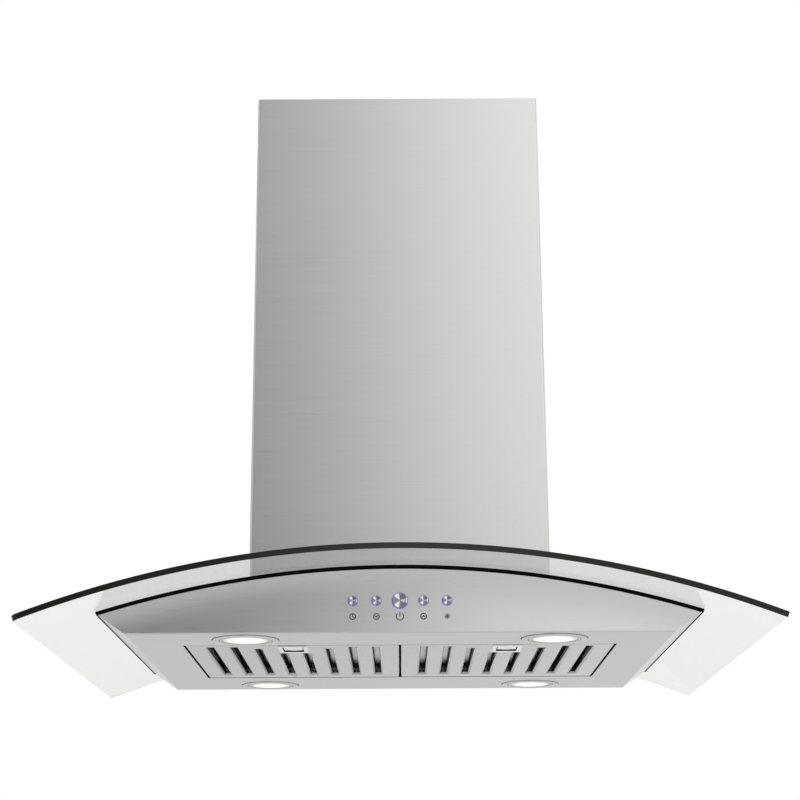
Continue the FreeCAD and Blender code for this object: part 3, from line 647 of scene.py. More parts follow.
@dataclass(frozen=True)
class GlassEdgeShade:
    """Ground front edge of the glass, painted dark as shade for the depth of the sheet behind it,
    and darker towards its ends.

    Attributes:
        name: Name of the material.
        middle: Colour at the middle of the arch.
        end: Darker painted shade from the reach outwards.
        reach: Distance from the middle over which it darkens, in metres.
    """

    name: str = "glass_edge_painted_shade"
    middle: Colour = (0.030, 0.031, 0.027)
    end: Colour = (0.009, 0.010, 0.008)
    reach: float = 0.20

    def make(self) -> bpy.types.Material:
        """Builds the material."""
        graph = MaterialGraph(self.name)
        coords = graph.object_coords()
        across, _, _ = graph.split(coords)
        out = graph.spread(graph.math("ABSOLUTE", across), 0.0, 1.0, end=self.reach)
        graph.colour(graph.ramp(out, self.middle, self.end))
        graph.noisy_roughness(graph.noise(coords, scale=12.0), 0.25, 0.36)
        graph.set(Specular_IOR_Level=0.25)
        return graph.material


@dataclass(frozen=True)
class RubberAndPaintedShade:
    """Black rubber with almost no shine, also used for lines of painted shade; in mirror images it
    glows a pale tone, a painted reflection, so it leaves no dark second image in the glass.

    Attributes:
        name: Name of the material.
        tint: Darkest colour.
        painted_reflection_tone: Painted pale tone that it glows with in mirror images.
    """

    name: str = "seal_rubber_and_painted_shade"
    tint: Colour = (0.0020, 0.0020, 0.0020)
    painted_reflection_tone: float = 0.36

    def make(self) -> bpy.types.Material:
        """Builds the material."""
        graph = MaterialGraph(self.name)
        coords = graph.object_coords()
        cloud = graph.noise(coords, scale=40.0, detail=3.0)
        graph.noisy_colour(cloud, self.tint, scaled(self.tint, 1.6))
        graph.noisy_roughness(cloud, 0.80, 0.90)
        speckle = graph.noise(coords, scale=1600.0, detail=1.0)
        graph.bump(speckle, strength=0.35, distance=0.03 * MM)
        graph.set(Specular_IOR_Level=0.06)
        # Painted reflection: mirror images of the rubber show an emitted pale tone in place of the
        # black rubber.
        depth = graph.node("LightPath").outputs["Glossy Depth"]
        graph.plain_where(graph.math("GREATER_THAN", depth, 0.5), self.painted_reflection_tone)
        return graph.material


@dataclass(frozen=True)
class Lit:
    """Translucent plastic that glows.

    Attributes:
        name: Name of the material.
        tint: Colour of the plastic.
        glow: Colour of its light.
        strength: Strength of its light.
    """

    name: str
    tint: Colour
    glow: Colour
    strength: float

    def make(self) -> bpy.types.Material:
        """Builds the material."""
        graph = MaterialGraph(self.name)
        frost = graph.noise(graph.object_coords(), scale=900.0)
        graph.noisy_colour(frost, scaled(self.tint, 0.95), self.tint)
        graph.noisy_roughness(frost, 0.28, 0.42)
        graph.bump(frost, strength=0.2, distance=0.03 * MM)
        graph.set(Emission_Color=self.glow, Emission_Strength=self.strength)
        return graph.material


class FinishBook:
    """All finishes of the hood, made once, and a way to dress the CAD nodes in them."""

    def __init__(self) -> None:
        """Makes every finish."""
        makers = {
            "chimney": BrushedSteel("steel_chimney", Grain.CHIMNEY, tone=0.62),
            "body": BrushedSteel("steel_body", Grain.ALONG_WIDTH),
            "filter": BrushedSteel("steel_filter", Grain.ALONG_DEPTH, tone=0.41, contrast=0.006,
                                   gloss=0.26, lip_shade=0.2),
            # Painted shade: the baffles are the same stainless steel, given a much darker tone for
            # the shade inside the filter.
            "baffle": BrushedSteel("steel_baffle_shaded", Grain.ALONG_DEPTH, tone=0.20, contrast=0.005,
                                   gloss=0.18),
            "bezel": BrushedSteel("steel_bezel", Grain.ALONG_WIDTH, tone=0.60, contrast=0.01,
                                  gloss=0.24),
            "zinc": ZincSheet(),
            "glass": ClearGlass(),
            "edge": GlassEdgeShade(),
            "seal": RubberAndPaintedShade(),
            "dark": Moulded("dark_plastic", (0.045, 0.045, 0.05), 0.45),
            "grey": Moulded("grey_plastic", (0.42, 0.43, 0.44), 0.42),
            "board": Moulded("solder_mask", (0.03, 0.17, 0.08), 0.3),
            "paint": Moulded("motor_paint", (0.07, 0.07, 0.08), 0.35),
            "wheel": BareMetal("wheel_sheet", (0.66, 0.67, 0.68), 0.34),
            "screw": BareMetal("screw_zinc", (0.72, 0.72, 0.70), 0.22),
            "bright": BareMetal("bright_steel", (0.80, 0.80, 0.80), 0.16),
            "spring": BareMetal("spring_steel", (0.46, 0.46, 0.45), 0.3),
            "spun": SpunMetal(),
            "lens": FrostedLens(),
            "ring": Lit("lit_ring", (0.13, 0.09, 0.36), (0.24, 0.17, 0.85), 0.40),
            "halo": Lit("ring_halo_painted_glow", (0.44, 0.42, 0.62), (0.45, 0.42, 0.85), 0.12),
            "ink": Moulded("printed_ink", (0.02, 0.02, 0.022), 0.6, 0.01 * MM),
        }
        self.made = {key: maker.make() for key, maker in makers.items()}

    def __getitem__(self, key: str) -> bpy.types.Material:
        """The material of a finish."""
        return self.made[key]

    def dress_frame(self, nodes: dict[str, bpy.types.Object], rows: Iterable[dict]) -> None:
        """Gives every CAD node the finish of its material slot.

        Args:
            nodes: CAD nodes by name.
            rows: The record's row of each node.
        """
        by_slot = {"galvanised": "zinc", "glass": "glass", "seal": "seal", "screw": "screw",
                   "dark_plastic": "dark", "grey_plastic": "grey", "blower_wheel": "wheel",
                   "motor_paint": "paint", "lens": "lens", "light_ring": "ring", "board": "board",
                   "spun_metal": "bright", "bright_metal": "bright", "spring_steel": "spring"}
        for row in rows:
            name = row["node"]
            mesh = nodes[name].data
            mesh.materials.clear()
            mesh.materials.append(self[by_slot.get(row["material_slot"]) or self.steel_for(name)])
            for polygon in mesh.polygons:
                polygon.material_index = 0

    @staticmethod
    def steel_for(node: str) -> str:
        """The brushed steel of a stainless node.

        Args:
            node: Name of the CAD node.

        Returns:
            Key of the finish.
        """
        if "cover" in node or "side_panel" in node:
            return "chimney"
        if node.endswith("baffles"):
            return "baffle"
        if node.startswith("filter"):
            return "filter"
        return "body"


# ------------------------------------------------------------------------------ mesh helpers
def finish_mesh(bm: BMesh, sharp: float = SHARP_ANGLE, flat_from: float = FLAT_FROM,
                weld: bool = True) -> None:
    """Merges doubles, turns all faces outwards and shades smooth between sharp edges.

    Args:
        bm: Mesh to finish.
        sharp: Angle from which an edge is sharp.
        flat_from: Faces whose shortest edge is longer than this are shaded flat.
        weld: False to leave the doubles of bars that touch each other.
    """
    if weld:
        bmesh.ops.remove_doubles(bm, verts=bm.verts, dist=WELD)
    bmesh.ops.recalc_face_normals(bm, faces=bm.faces)
    for face in bm.faces:
        face.smooth = min(edge.calc_length() for edge in face.edges) < flat_from
    for edge in bm.edges:
        edge.smooth = len(edge.link_faces) == 2 and edge.calc_face_angle(0.0) < sharp


def bevel(bm: BMesh, edges: Iterable[BMEdge], radius: float, segments: int = 3) -> None:
    """Rounds edges.

    Args:
        bm: Mesh to change.
        edges: Edges to round.
        radius: Radius of the rounding.
        segments: Faces across it.
    """
    bmesh.ops.bevel(bm, geom=list(edges), offset=radius, offset_type="OFFSET", segments=segments,
                    profile=0.5, affect="EDGES", material=-1, clamp_overlap=True)


def upright_edges(bm: BMesh, length: float) -> list[BMEdge]:
    """Edges that climb by more than a length."""
    return [edge for edge in bm.edges if abs(edge.verts[0].co.z - edge.verts[1].co.z) > length]


def block(bm: BMesh, low: Point, high: Point, radius: float = 0.0, segments: int = 2) -> None:
    """Adds a box between two corners, with rounded edges.

    Args:
        bm: Mesh to add to.
        low: Lowest corner.
        high: Highest corner.
        radius: Radius of its edges.
        segments: Faces across each rounding.
    """
    size = Vector(high) - Vector(low)
    centre = (Vector(high) + Vector(low)) / 2
    place = Matrix.Translation(centre) @ Matrix.Diagonal((*size, 1.0))
    made = bmesh.ops.create_cube(bm, size=1.0, matrix=place)
    if radius:
        edges = {edge for vert in made["verts"] for edge in vert.link_edges}
        bevel(bm, edges, radius, segments)


def revolve(bm: BMesh, profile: Profile, place: Matrix, steps: int, closed: bool = False) -> None:
    """Adds a turned shape.

    Args:
        bm: Mesh to add to.
        profile: (radius, height) along the outline.
        place: Where its axis, local +Z, goes.
        steps: Faces round it.
        closed: True if the outline joins its own start.
    """
    verts = [bm.verts.new((radius, 0.0, height)) for radius, height in profile]
    pairs = list(zip(verts, verts[1:]))
    if closed:
        pairs.append((verts[-1], verts[0]))
    edges = [bm.edges.new(pair) for pair in pairs]
    known = set(bm.verts) - set(verts)
    bmesh.ops.spin(bm, geom=verts + edges, cent=(0, 0, 0), axis=(0, 0, 1), dvec=(0, 0, 0),
                   angle=math.tau, steps=steps, use_merge=True, use_normal_flip=False,
                   use_duplicate=False)
    fresh = [vert for vert in bm.verts if vert not in known]
    bmesh.ops.remove_doubles(bm, verts=fresh, dist=WELD)
    fresh = [vert for vert in bm.verts if vert not in known]
    bmesh.ops.transform(bm, matrix=place, verts=fresh)


def facing_front(x: float, y: float, z: float) -> Matrix:
    """Placement whose local +Z points to the front (-Y)."""
    return Matrix.Translation((x, y, z)) @ Matrix.Rotation(QUARTER_TURN, 4, "X")


def facing_down(x: float, y: float, z: float) -> Matrix:
    """Placement whose local +Z points down."""
    return Matrix.Translation((x, y, z)) @ Matrix.Rotation(2 * QUARTER_TURN, 4, "X")


def on_side(sign: int, near: float, far: float) -> tuple[float, float]:
    """Two distances from the middle, on its side -1 or +1, the lower coordinate first."""
    return (sign * near, sign * far) if sign > 0 else (sign * far, sign * near)


def polar_map(bm: BMesh, place: Matrix, reach: float) -> None:
    """Writes a polar map round an axis: the turn in U and the radius in V.

    Args:
        bm: Mesh to map.
        place: Placement whose local +Z is the axis.
        reach: Radius at which V is 1.
    """
    layer = bm.loops.layers.uv.new(POLAR_MAP)
    to_axis = place.inverted()
    for face in bm.faces:
        middle = to_axis @ face.calc_center_median()
        base = math.atan2(middle.y, middle.x)
        for loop in face.loops:
            point = to_axis @ loop.vert.co
            radius = math.hypot(point.x, point.y)
            turn = math.atan2(point.y, point.x) if radius > WELD else base
            turn = base + math.remainder(turn - base, math.tau)
            loop[layer].uv = (turn / math.tau, radius / reach)


def boolean_cut(piece: bpy.types.Object, tool: BMesh) -> None:
    """Cuts a tool out of a piece for good.

    Args:
        piece: Piece to cut.
        tool: Closed mesh of the tool; it is freed.
    """
    mesh = bpy.data.meshes.new("tool")
    tool.to_mesh(mesh)
    tool.free()
    cutter = bpy.data.objects.new("tool", mesh)
    bpy.context.scene.collection.objects.link(cutter)
    modifier = piece.modifiers.new("cut", "BOOLEAN")
    modifier.operation = "DIFFERENCE"
    modifier.solver = "EXACT"
    modifier.object = cutter
    graph = bpy.context.evaluated_depsgraph_get()
    cut = bpy.data.meshes.new_from_object(piece.evaluated_get(graph))
    piece.modifiers.clear()
    old = piece.data
    piece.data = cut
    cut.name = old.name
    bpy.data.meshes.remove(old)
    bpy.data.objects.remove(cutter)
    bpy.data.meshes.remove(mesh)


@dataclass
class PressedSheet:
    """A flat sheet with rectangular openings, whose rims are all folded up.

    Attributes:
        half_width: Half size along the width.
        front: Front edge.
        rear: Rear edge.
        lip: Height of the folds round the openings.
        lip_radius: Radius of those folds.
        thickness: Thickness of the sheet.
        openings: (x0, x1, y0, y1) of each opening.
        rim: Height of the fold round the outside, 0 for none.
        rim_radius: Radius of that fold.
    """

    half_width: float
    front: float
    rear: float
    lip: float
    lip_radius: float
    thickness: float
    openings: list[tuple[float, float, float, float]] = field(default_factory=list)
    rim: float = 0.0
    rim_radius: float = 0.0

    def build(self, z: float) -> BMesh:
        """Builds the sheet, face down.

        Args:
            z: Height of its lower face.

        Returns:
            The mesh, centred on x = 0.
        """
        bm = bmesh.new()
        place = Matrix.Translation((0, (self.front + self.rear) / 2, z)) @ Matrix.Diagonal(
            (self.half_width, (self.rear - self.front) / 2, 1, 1))
        bmesh.ops.create_grid(bm, x_segments=1, y_segments=1, size=1.0, matrix=place)
        self._cut_openings(bm)
        for face in bm.faces:
            if face.normal.z > 0:
                face.normal_flip()
        outer, inner = self._rims(bm)
        self._fold(bm, inner, self.lip, self.lip_radius)
        if self.rim:
            self._fold(bm, outer, self.rim, self.rim_radius)
        bmesh.ops.remove_doubles(bm, verts=bm.verts, dist=WELD)
        bmesh.ops.solidify(bm, geom=bm.faces[:], thickness=self.thickness)
        return bm

    def _cut_openings(self, bm: BMesh) -> None:
        """Scores the sheet along the openings' edges and takes the openings out.

        Args:
            bm: The flat sheet.
        """
        along_x = {x for x0, x1, _, _ in self.openings for x in (x0, x1)}
        along_y = {y for _, _, y0, y1 in self.openings for y in (y0, y1)}
        scores = [((x, 0, 0), (1, 0, 0)) for x in sorted(along_x)]
        scores += [((0, y, 0), (0, 1, 0)) for y in sorted(along_y)]
        for point, normal in scores:
            bmesh.ops.bisect_plane(bm, geom=bm.verts[:] + bm.edges[:] + bm.faces[:], dist=WELD,
                                   plane_co=point, plane_no=normal)
        taken = []
        for face in bm.faces:
            middle = face.calc_center_median()
            if any(x0 < middle.x < x1 and y0 < middle.y < y1 for x0, x1, y0, y1 in self.openings):
                taken.append(face)
        bmesh.ops.delete(bm, geom=taken, context="FACES")

    def _rims(self, bm: BMesh) -> tuple[list[BMEdge], list[BMEdge]]:
        """Sorts the boundary edges.

        Args:
            bm: The sheet with its openings.

        Returns:
            The edges round the outside and those round the openings.
        """
        outer, inner = [], []
        for edge in bm.edges:
            if not edge.is_boundary:
                continue
            middle = (edge.verts[0].co + edge.verts[1].co) / 2
            off = (abs(middle.x) - self.half_width, middle.y - self.front, middle.y - self.rear)
            (outer if min(map(abs, off)) < WELD else inner).append(edge)
        return outer, inner

    @staticmethod
    def _fold(bm: BMesh, rim: list[BMEdge], height: float, radius: float) -> None:
        """Folds a rim up, with rounded folds and rounded corners.

        Args:
            bm: The sheet.
            rim: Edges of the rim.
            height: Height of the fold.
            radius: Radius of the fold.
        """
        made = bmesh.ops.extrude_edge_only(bm, edges=rim)
        lifted = [part for part in made["geom"] if isinstance(part, BMVert)]
        bmesh.ops.translate(bm, verts=lifted, vec=(0, 0, height))
        lifted_set = set(lifted)
        folds = [edge for edge in rim if edge.is_valid]
        corners = [edge for vert in lifted for edge in vert.link_edges
                   if edge.other_vert(vert) not in lifted_set and len(edge.link_faces) == 2
                   and edge.calc_face_angle(0.0) > QUARTER_TURN / 2]
        bevel(bm, set(folds + corners), radius)


def arch_bar(bm: BMesh, span: tuple[float, float], depth: tuple[float, float],
             rise: tuple[float, float], steps: int) -> None:
    """Adds a bar that follows the arch of the glass.

    Args:
        bm: Mesh to add to.
        span: Its two ends along the width.
        depth: Its two sides along the depth.
        rise: Its lower and upper face, outwards from the underside of the glass.
        steps: Faces along it.
    """
    start, end = (math.asin(x / SIZES.arch_radius) for x in span)
    axis = Vector((0, 0, SIZES.arch_axis_z))
    low, high = (SIZES.arch_radius + offset for offset in rise)
    place = (Matrix.Translation(axis) @ Matrix.Rotation(start, 4, "Y")
             @ Matrix.Translation((0, sum(depth) / 2, (low + high) / 2))
             @ Matrix.Rotation(QUARTER_TURN, 4, "Y")
             @ Matrix.Diagonal(((high - low) / 2, (depth[1] - depth[0]) / 2, 1, 1)))
    known = set(bm.verts)
    made = bmesh.ops.create_grid(bm, x_segments=1, y_segments=1, size=1.0, matrix=place)
    verts = made["verts"]
    edges = {edge for vert in verts for edge in vert.link_edges}
    faces = {face for vert in verts for face in vert.link_faces}
    bmesh.ops.spin(bm, geom=[*verts, *edges, *faces], cent=axis, axis=(0, 1, 0), dvec=(0, 0, 0),
                   angle=end - start, steps=steps, use_merge=False, use_normal_flip=False,
                   use_duplicate=False)
    bmesh.ops.remove_doubles(bm, verts=[vert for vert in bm.verts if vert not in known], dist=WELD)


@dataclass
class SubAssembly:
    """Something that is built with the hood's finishes.

    Attributes:
        finishes: The hood's finishes.
    """

    finishes: FinishBook

    def add(self, bm: BMesh, name: str, finish: str, slot: str, body: str = "hood",
            replaces: Sequence[str] = ()) -> bpy.types.Object:
        """Makes a piece of a mesh and fixes it to its body.

        Args:
            bm: Finished mesh, placed in the row frame; it is freed.
            name: Name of the piece.
            finish: Key of its finish.
            slot: Material slot of the record; not used.
            body: CAD body that carries it.
            replaces: CAD nodes that it stands for.

        Returns:
            The new object.
        """
        mesh = bpy.data.meshes.new(name)
        bm.to_mesh(mesh)
        bm.free()
        mesh.materials.append(self.finishes[finish])
        piece = bpy.data.objects.new(name, mesh)
        bpy.context.scene.collection.objects.link(piece)
        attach(piece, body)
        if replaces:
            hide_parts(*replaces)
        log.info("%s: %d faces", name, len(mesh.polygons))
        return piece


# ------------------------------------------------------------------------------ seal
@dataclass
class GlassSeal(SubAssembly):
    """Black rubber between glass and body: a rim with a lip over the body's edge, and a pad.

    Attributes:
        thickness: Gap that it fills under the glass.
        width: Width of the rim.
        side_reach: How far the rim shows beyond the body's sides.
        front_reach: How far it stands out of the front and rear panels.
        lip: How far its lip laps over their top edges.
        pad_margin: Width of the pad round the air cut-out.
        body_top_width: Width of the body under the glass.
        rim_steps: Faces along the front and rear of the rim.
        side_steps: Faces across the sides of the rim.
        pad_steps: Faces along the front and rear of the pad.
        pad_side_steps: Faces across the sides of the pad.
    """

    thickness: float = 3.5 * MM
    width: float = 8.0 * MM
    side_reach: float = 2.4 * MM
    front_reach: float = 0.9 * MM
    lip: float = 0.5 * MM
    pad_margin: float = 34.0 * MM
    body_top_width: float = 0.614
    rim_steps: int = 80
    side_steps: int = 3
    pad_steps: int = 36
    pad_side_steps: int = 6

    def build(self) -> None:
        """Builds the seal."""
        edge, side = SIZES.body_depth / 2, self.body_top_width / 2
        far, out = edge + self.front_reach, side + self.side_reach
        near = edge - self.width
        hole_x, hole_y = SIZES.cutout_width / 2, SIZES.cutout_depth / 2
        pad_x, pad_y = hole_x + self.pad_margin, hole_y + self.pad_margin
        gap = (-self.thickness, 0.0)
        lap = (-self.thickness - self.lip, -self.thickness)
        bm = bmesh.new()
        for sign in (-1, 1):
            arch_bar(bm, (-out, out), on_side(sign, near, far), gap, self.rim_steps)
            arch_bar(bm, (-side, side), on_side(sign, edge, far), lap, self.rim_steps)
            arch_bar(bm, on_side(sign, side - self.width, out), (-near, near), gap, self.side_steps)
            arch_bar(bm, (-pad_x, pad_x), on_side(sign, hole_y, pad_y), gap, self.pad_steps)
            arch_bar(bm, on_side(sign, hole_x, pad_x), (-hole_y, hole_y), gap, self.pad_side_steps)
        finish_mesh(bm, flat_from=math.inf, weld=False)
        self.add(bm, "glass_seal_rubber", "seal", "seal", replaces=["glass_seal"])


# ------------------------------------------------------------------------------ canopy
@dataclass
class GlassCanopy(SubAssembly):
    """The arched glass.

    Attributes:
        corner: Radius of its corners in plan.
        corner_steps: Faces round each corner.
        arris: Width of the ground edge.
        cutout_corner: Corner radius of the air cut-out.
        cutout_steps: Faces round each of its corners.
        steps: Faces along the arch.
        rim_angle: Angle from which an edge is on the rim.
        smooth_below: Angle up to which the faces are shaded smooth.
    """

    corner: float = 7.0 * MM
    corner_steps: int = 8
    arris: float = 0.7 * MM
    cutout_corner: float = 12.0 * MM
    cutout_steps: int = 6
    steps: int = 96
    rim_angle: float = math.radians(60)
    smooth_below: float = math.radians(6)

    def build(self) -> None:
        """Builds the glass as one closed solid."""
        half_x, half_y = SIZES.glass_width / 2, SIZES.glass_depth / 2
        bm = bmesh.new()
        arch_bar(bm, (-half_x, half_x), (-half_y, half_y), (0.0, SIZES.glass_thickness), self.steps)
        bmesh.ops.recalc_face_normals(bm, faces=bm.faces)
        tips = [edge for edge in bm.edges
                if all(abs(vert.co.x) >= half_x - WELD for vert in edge.verts)
                and abs(edge.verts[0].co.y - edge.verts[1].co.y) < WELD]
        bevel(bm, tips, self.corner, self.corner_steps)
        front = -half_y + WELD
        arrises = [edge for edge in bm.edges
                   if len(edge.link_faces) == 2 and edge.calc_face_angle(0.0) > self.rim_angle
                   and all(vert.co.y < front for vert in edge.verts)]
        bevel(bm, arrises, self.arris, 2)
        finish_mesh(bm, sharp=self.smooth_below, flat_from=math.inf)
        # Painted shade: the front edge faces take the dark edge finish in place of clear glass.
        for face in bm.faces:
            if face.normal.y < -0.05 and face.calc_center_median().y < front + self.corner:
                face.material_index = 1
        glass = self.add(bm, "glass_canopy_curved", "glass", "glass", replaces=["glass_canopy"])
        glass.data.materials.append(self.finishes["edge"])
        boolean_cut(glass, self._cutout_tool())

    def _cutout_tool(self) -> BMesh:
        """Makes the tool of the air cut-out.

        Returns:
            A closed mesh, through the arch from below to above.
        """
        half_x, half_y = SIZES.cutout_width / 2, SIZES.cutout_depth / 2
        tool = bmesh.new()
        block(tool, (-half_x, -half_y, SIZES.pan_z),
              (half_x, half_y, SIZES.pan_z + 2 * SIZES.glass_rise))
        bevel(tool, upright_edges(tool, SIZES.glass_rise), self.cutout_corner, self.cutout_steps)
        return tool


# ------------------------------------------------------------------------------ chimney
@dataclass
class ChimneyCovers(SubAssembly):
    """Lower and upper chimney covers, each in a front and a rear half with rounded bends.

    Attributes:
        bend: Outer radius of the bends.
        bend_steps: Faces round each bend.
        lap_half: Reach of the seam laps to each side of the middle.
        lap_edge: Rounding of the laps.
        seat_gap: Gap between the lower cover and the glass.
        seat_half_width: Half width of the tool that cuts the seat.
        seat_half_depth: Half depth of that tool.
        seat_below: How far that tool reaches below the glass.
        seat_steps: Faces along that tool.
    """

    bend: float = 3.0 * MM
    bend_steps: int = 6
    lap_half: float = 12.0 * MM
    lap_edge: float = 0.2 * MM
    seat_gap: float = 0.2 * MM
    seat_half_width: float = 0.3
    seat_half_depth: float = 0.2
    seat_below: float = 0.2
    seat_steps: int = 96

    def build(self) -> None:
        """Builds the four halves."""
        for level, body in (("lower", "hood"), ("upper", "ceiling")):
            for side, sign in (("front", -1), ("rear", 1)):
                node = f"{level}_cover_{side}"
                piece = self.add(self._half(node, sign), f"{node}_bent", "chimney", "stainless",
                                 body, [node])
                if level == "lower":
                    boolean_cut(piece, self._seat())

    def _half(self, node: str, sign: int) -> BMesh:
        """Makes one half: a bent sheet, and for the rear half the laps inside its seams.

        Args:
            node: CAD node that gives its box.
            sign: -1 for the front half, 1 for the rear half.

        Returns:
            The finished mesh.
        """
        low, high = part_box(node)
        half_x = (high[0] - low[0]) / 2
        reach = max(abs(low[1]), abs(high[1]))
        bm = bmesh.new()
        block(bm, (-half_x, -reach, low[2]), (half_x, reach, high[2]))
        bevel(bm, upright_edges(bm, self.bend), self.bend, self.bend_steps)
        ends = [face for face in bm.faces if abs(face.normal.z) > 0.9]
        bmesh.ops.delete(bm, geom=ends, context="FACES")
        bmesh.ops.bisect_plane(bm, geom=bm.verts[:] + bm.edges[:] + bm.faces[:], dist=WELD,
                               plane_co=(0, 0, 0), plane_no=(0, -sign, 0), clear_outer=True)
        bmesh.ops.recalc_face_normals(bm, faces=bm.faces)
        self._face_outwards(bm)
        bmesh.ops.solidify(bm, geom=bm.faces[:], thickness=SIZES.sheet)
        if sign > 0:
            inner = half_x - SIZES.sheet
            for turn in (-1, 1):
                x0, x1 = on_side(turn, inner - SIZES.sheet, inner)
                block(bm, (x0, -self.lap_half, low[2]), (x1, self.lap_half, high[2]),
                      self.lap_edge, 1)
        finish_mesh(bm)
        return bm

    @staticmethod
    def _face_outwards(bm: BMesh) -> None:
        """Turns an open sheet's faces away from the chimney's axis.

        Args:
            bm: The sheet.
        """
        for face in bm.faces:
            middle = face.calc_center_median()
            if face.normal.x * middle.x + face.normal.y * middle.y < 0:
                face.normal_flip()

    def _seat(self) -> BMesh:
        """Makes the tool that cuts the seat on the arch of the glass.

        Returns:
            A closed mesh below the seat.
        """
        tool = bmesh.new()
        arch_bar(tool, (-self.seat_half_width, self.seat_half_width),
                 (-self.seat_half_depth, self.seat_half_depth),
                 (-self.seat_below, SIZES.glass_thickness + self.seat_gap), self.seat_steps)
        bmesh.ops.recalc_face_normals(tool, faces=tool.faces)
        return tool


# ------------------------------------------------------------------------------ lamps
@dataclass
class Lamps(SubAssembly):
    """Four round lamps in the pan.

    Attributes:
        reach_x: Distance of each lamp from the middle along the width.
        reach_y: Distance of each lamp from the middle along the depth.
        bezel: Outer radius of the bezel.
        opening: Radius of its opening.
        groove: Radius of the thin groove round the opening.
        groove_depth: Depth of that groove.
        line: Width of the black lines of painted shade round the bezel and in its groove.
        line_height: Height of the line round the bezel.
        proud: Height of the bezel below the pan.
        soft: Rounding of its fine edges.
        slope: Width of the fall towards its rim.
        rim: Width and height of the last fall at its rim.
        wall: Wall of the tube behind the opening.
        tube: How far that tube reaches up into the pan.
        lens_rim: How far the lens's rim lies behind the bezel's face.
        lens_crown: How far the lens's middle lies behind it.
        lens_gap: Gap between lens and bezel.
        lens_rear: How far the lens reaches up into the pan.
        steps: Faces round a bezel.
        lens_steps: Faces round a lens.
    """

    reach_x: float = 159.7 * MM
    reach_y: float = 180.0 * MM
    bezel: float = 35.0 * MM
    opening: float = 25.0 * MM
    groove: float = 27.4 * MM
    groove_depth: float = 0.5 * MM
    line: float = 0.8 * MM
    line_height: float = 0.12 * MM
    proud: float = 1.2 * MM
    soft: float = 0.15 * MM
    slope: float = 1.2 * MM
    rim: float = 0.5 * MM
    wall: float = 1.5 * MM
    tube: float = 0.4 * MM
    lens_rim: float = 0.75 * MM
    lens_crown: float = 0.1 * MM
    lens_gap: float = 0.02 * MM
    lens_rear: float = 0.3 * MM
    steps: int = 96
    lens_steps: int = 64

    def build(self) -> None:
        """Builds the bezels and lenses."""
        for end, sy in (("front", -1), ("rear", 1)):
            for side, sx in (("left", -1), ("right", 1)):
                place = facing_down(sx * self.reach_x, sy * self.reach_y, SIZES.pan_z)
                self._bezel(place, f"{end}_{side}")
                self._lens(place, f"{end}_{side}")

    def _bezel(self, place: Matrix, where: str) -> None:
        """Builds a bezel, and the black rings of painted shade in its groove and round it.

        Args:
            place: Placement of the lamp, with local +Z down.
            where: Corner of the pan, for the names.
        """
        top, soft = self.proud, self.soft
        rim, wall = self.bezel - self.line, self.opening + self.wall
        inner, outer = self.groove - self.line / 2, self.groove + self.line / 2
        floor = top - self.groove_depth
        profile = [
            (self.opening, -self.tube), (self.opening, top - 2 * soft),
            (self.opening + 2 * soft, top - soft / 2), (inner - soft, top), (inner, top - soft),
            (inner, floor), (outer, floor), (outer, top - soft), (outer + soft, top),
            (rim - self.slope, top), (rim - self.rim, top - soft), (rim, top - self.rim),
            (rim, 0.0), (wall, 0.0), (wall, -self.tube),
        ]
        bm = bmesh.new()
        revolve(bm, profile, place, self.steps, closed=True)
        finish_mesh(bm)
        self.add(bm, f"lamp_bezel_{where}", "bezel", "stainless", replaces=["lamp_bezels"])
        # Painted shade: black rings stand for the shadow gap round the bezel and the shade in its
        # groove.
        bm = bmesh.new()
        for start, end, low, high in ((rim, self.bezel, 0.0, self.line_height),
                                      (inner, outer, floor, top - 2 * soft)):
            section = [(start, low), (start, high), (end, high), (end, low)]
            revolve(bm, section, place, self.steps, closed=True)
        finish_mesh(bm)
        self.add(bm, f"lamp_painted_shade_{where}", "seal", "seal", replaces=["lamp_bezels"])

    def _lens(self, place: Matrix, where: str) -> None:
        """Builds a slightly domed lens.

        Args:
            place: Placement of the lamp, with local +Z down.
            where: Corner of the pan, for the name.
        """
        rim = self.proud - self.lens_rim
        crown = self.lens_rim - self.lens_crown
        shares = [k / 10 for k in range(10)] + [0.95]
        profile = [(self.opening * share, rim + crown * math.sqrt(1 - share**2))
                   for share in shares]
        edge = self.opening - self.lens_gap
        profile += [(edge, rim), (edge, -self.lens_rear), (0.0, -self.lens_rear)]
        bm = bmesh.new()
        revolve(bm, profile, place, self.lens_steps)
        finish_mesh(bm)
        polar_map(bm, place, self.opening)
        self.add(bm, f"lamp_lens_{where}", "lens", "lens", replaces=["lamp_lenses"])


# ------------------------------------------------------------------------------ controls
class Icon(Enum):
    """What is printed under each button."""

    TIMER = "timer"
    SLOWER = "slower"
    POWER = "power"
    FASTER = "faster"
    LIGHT = "light"


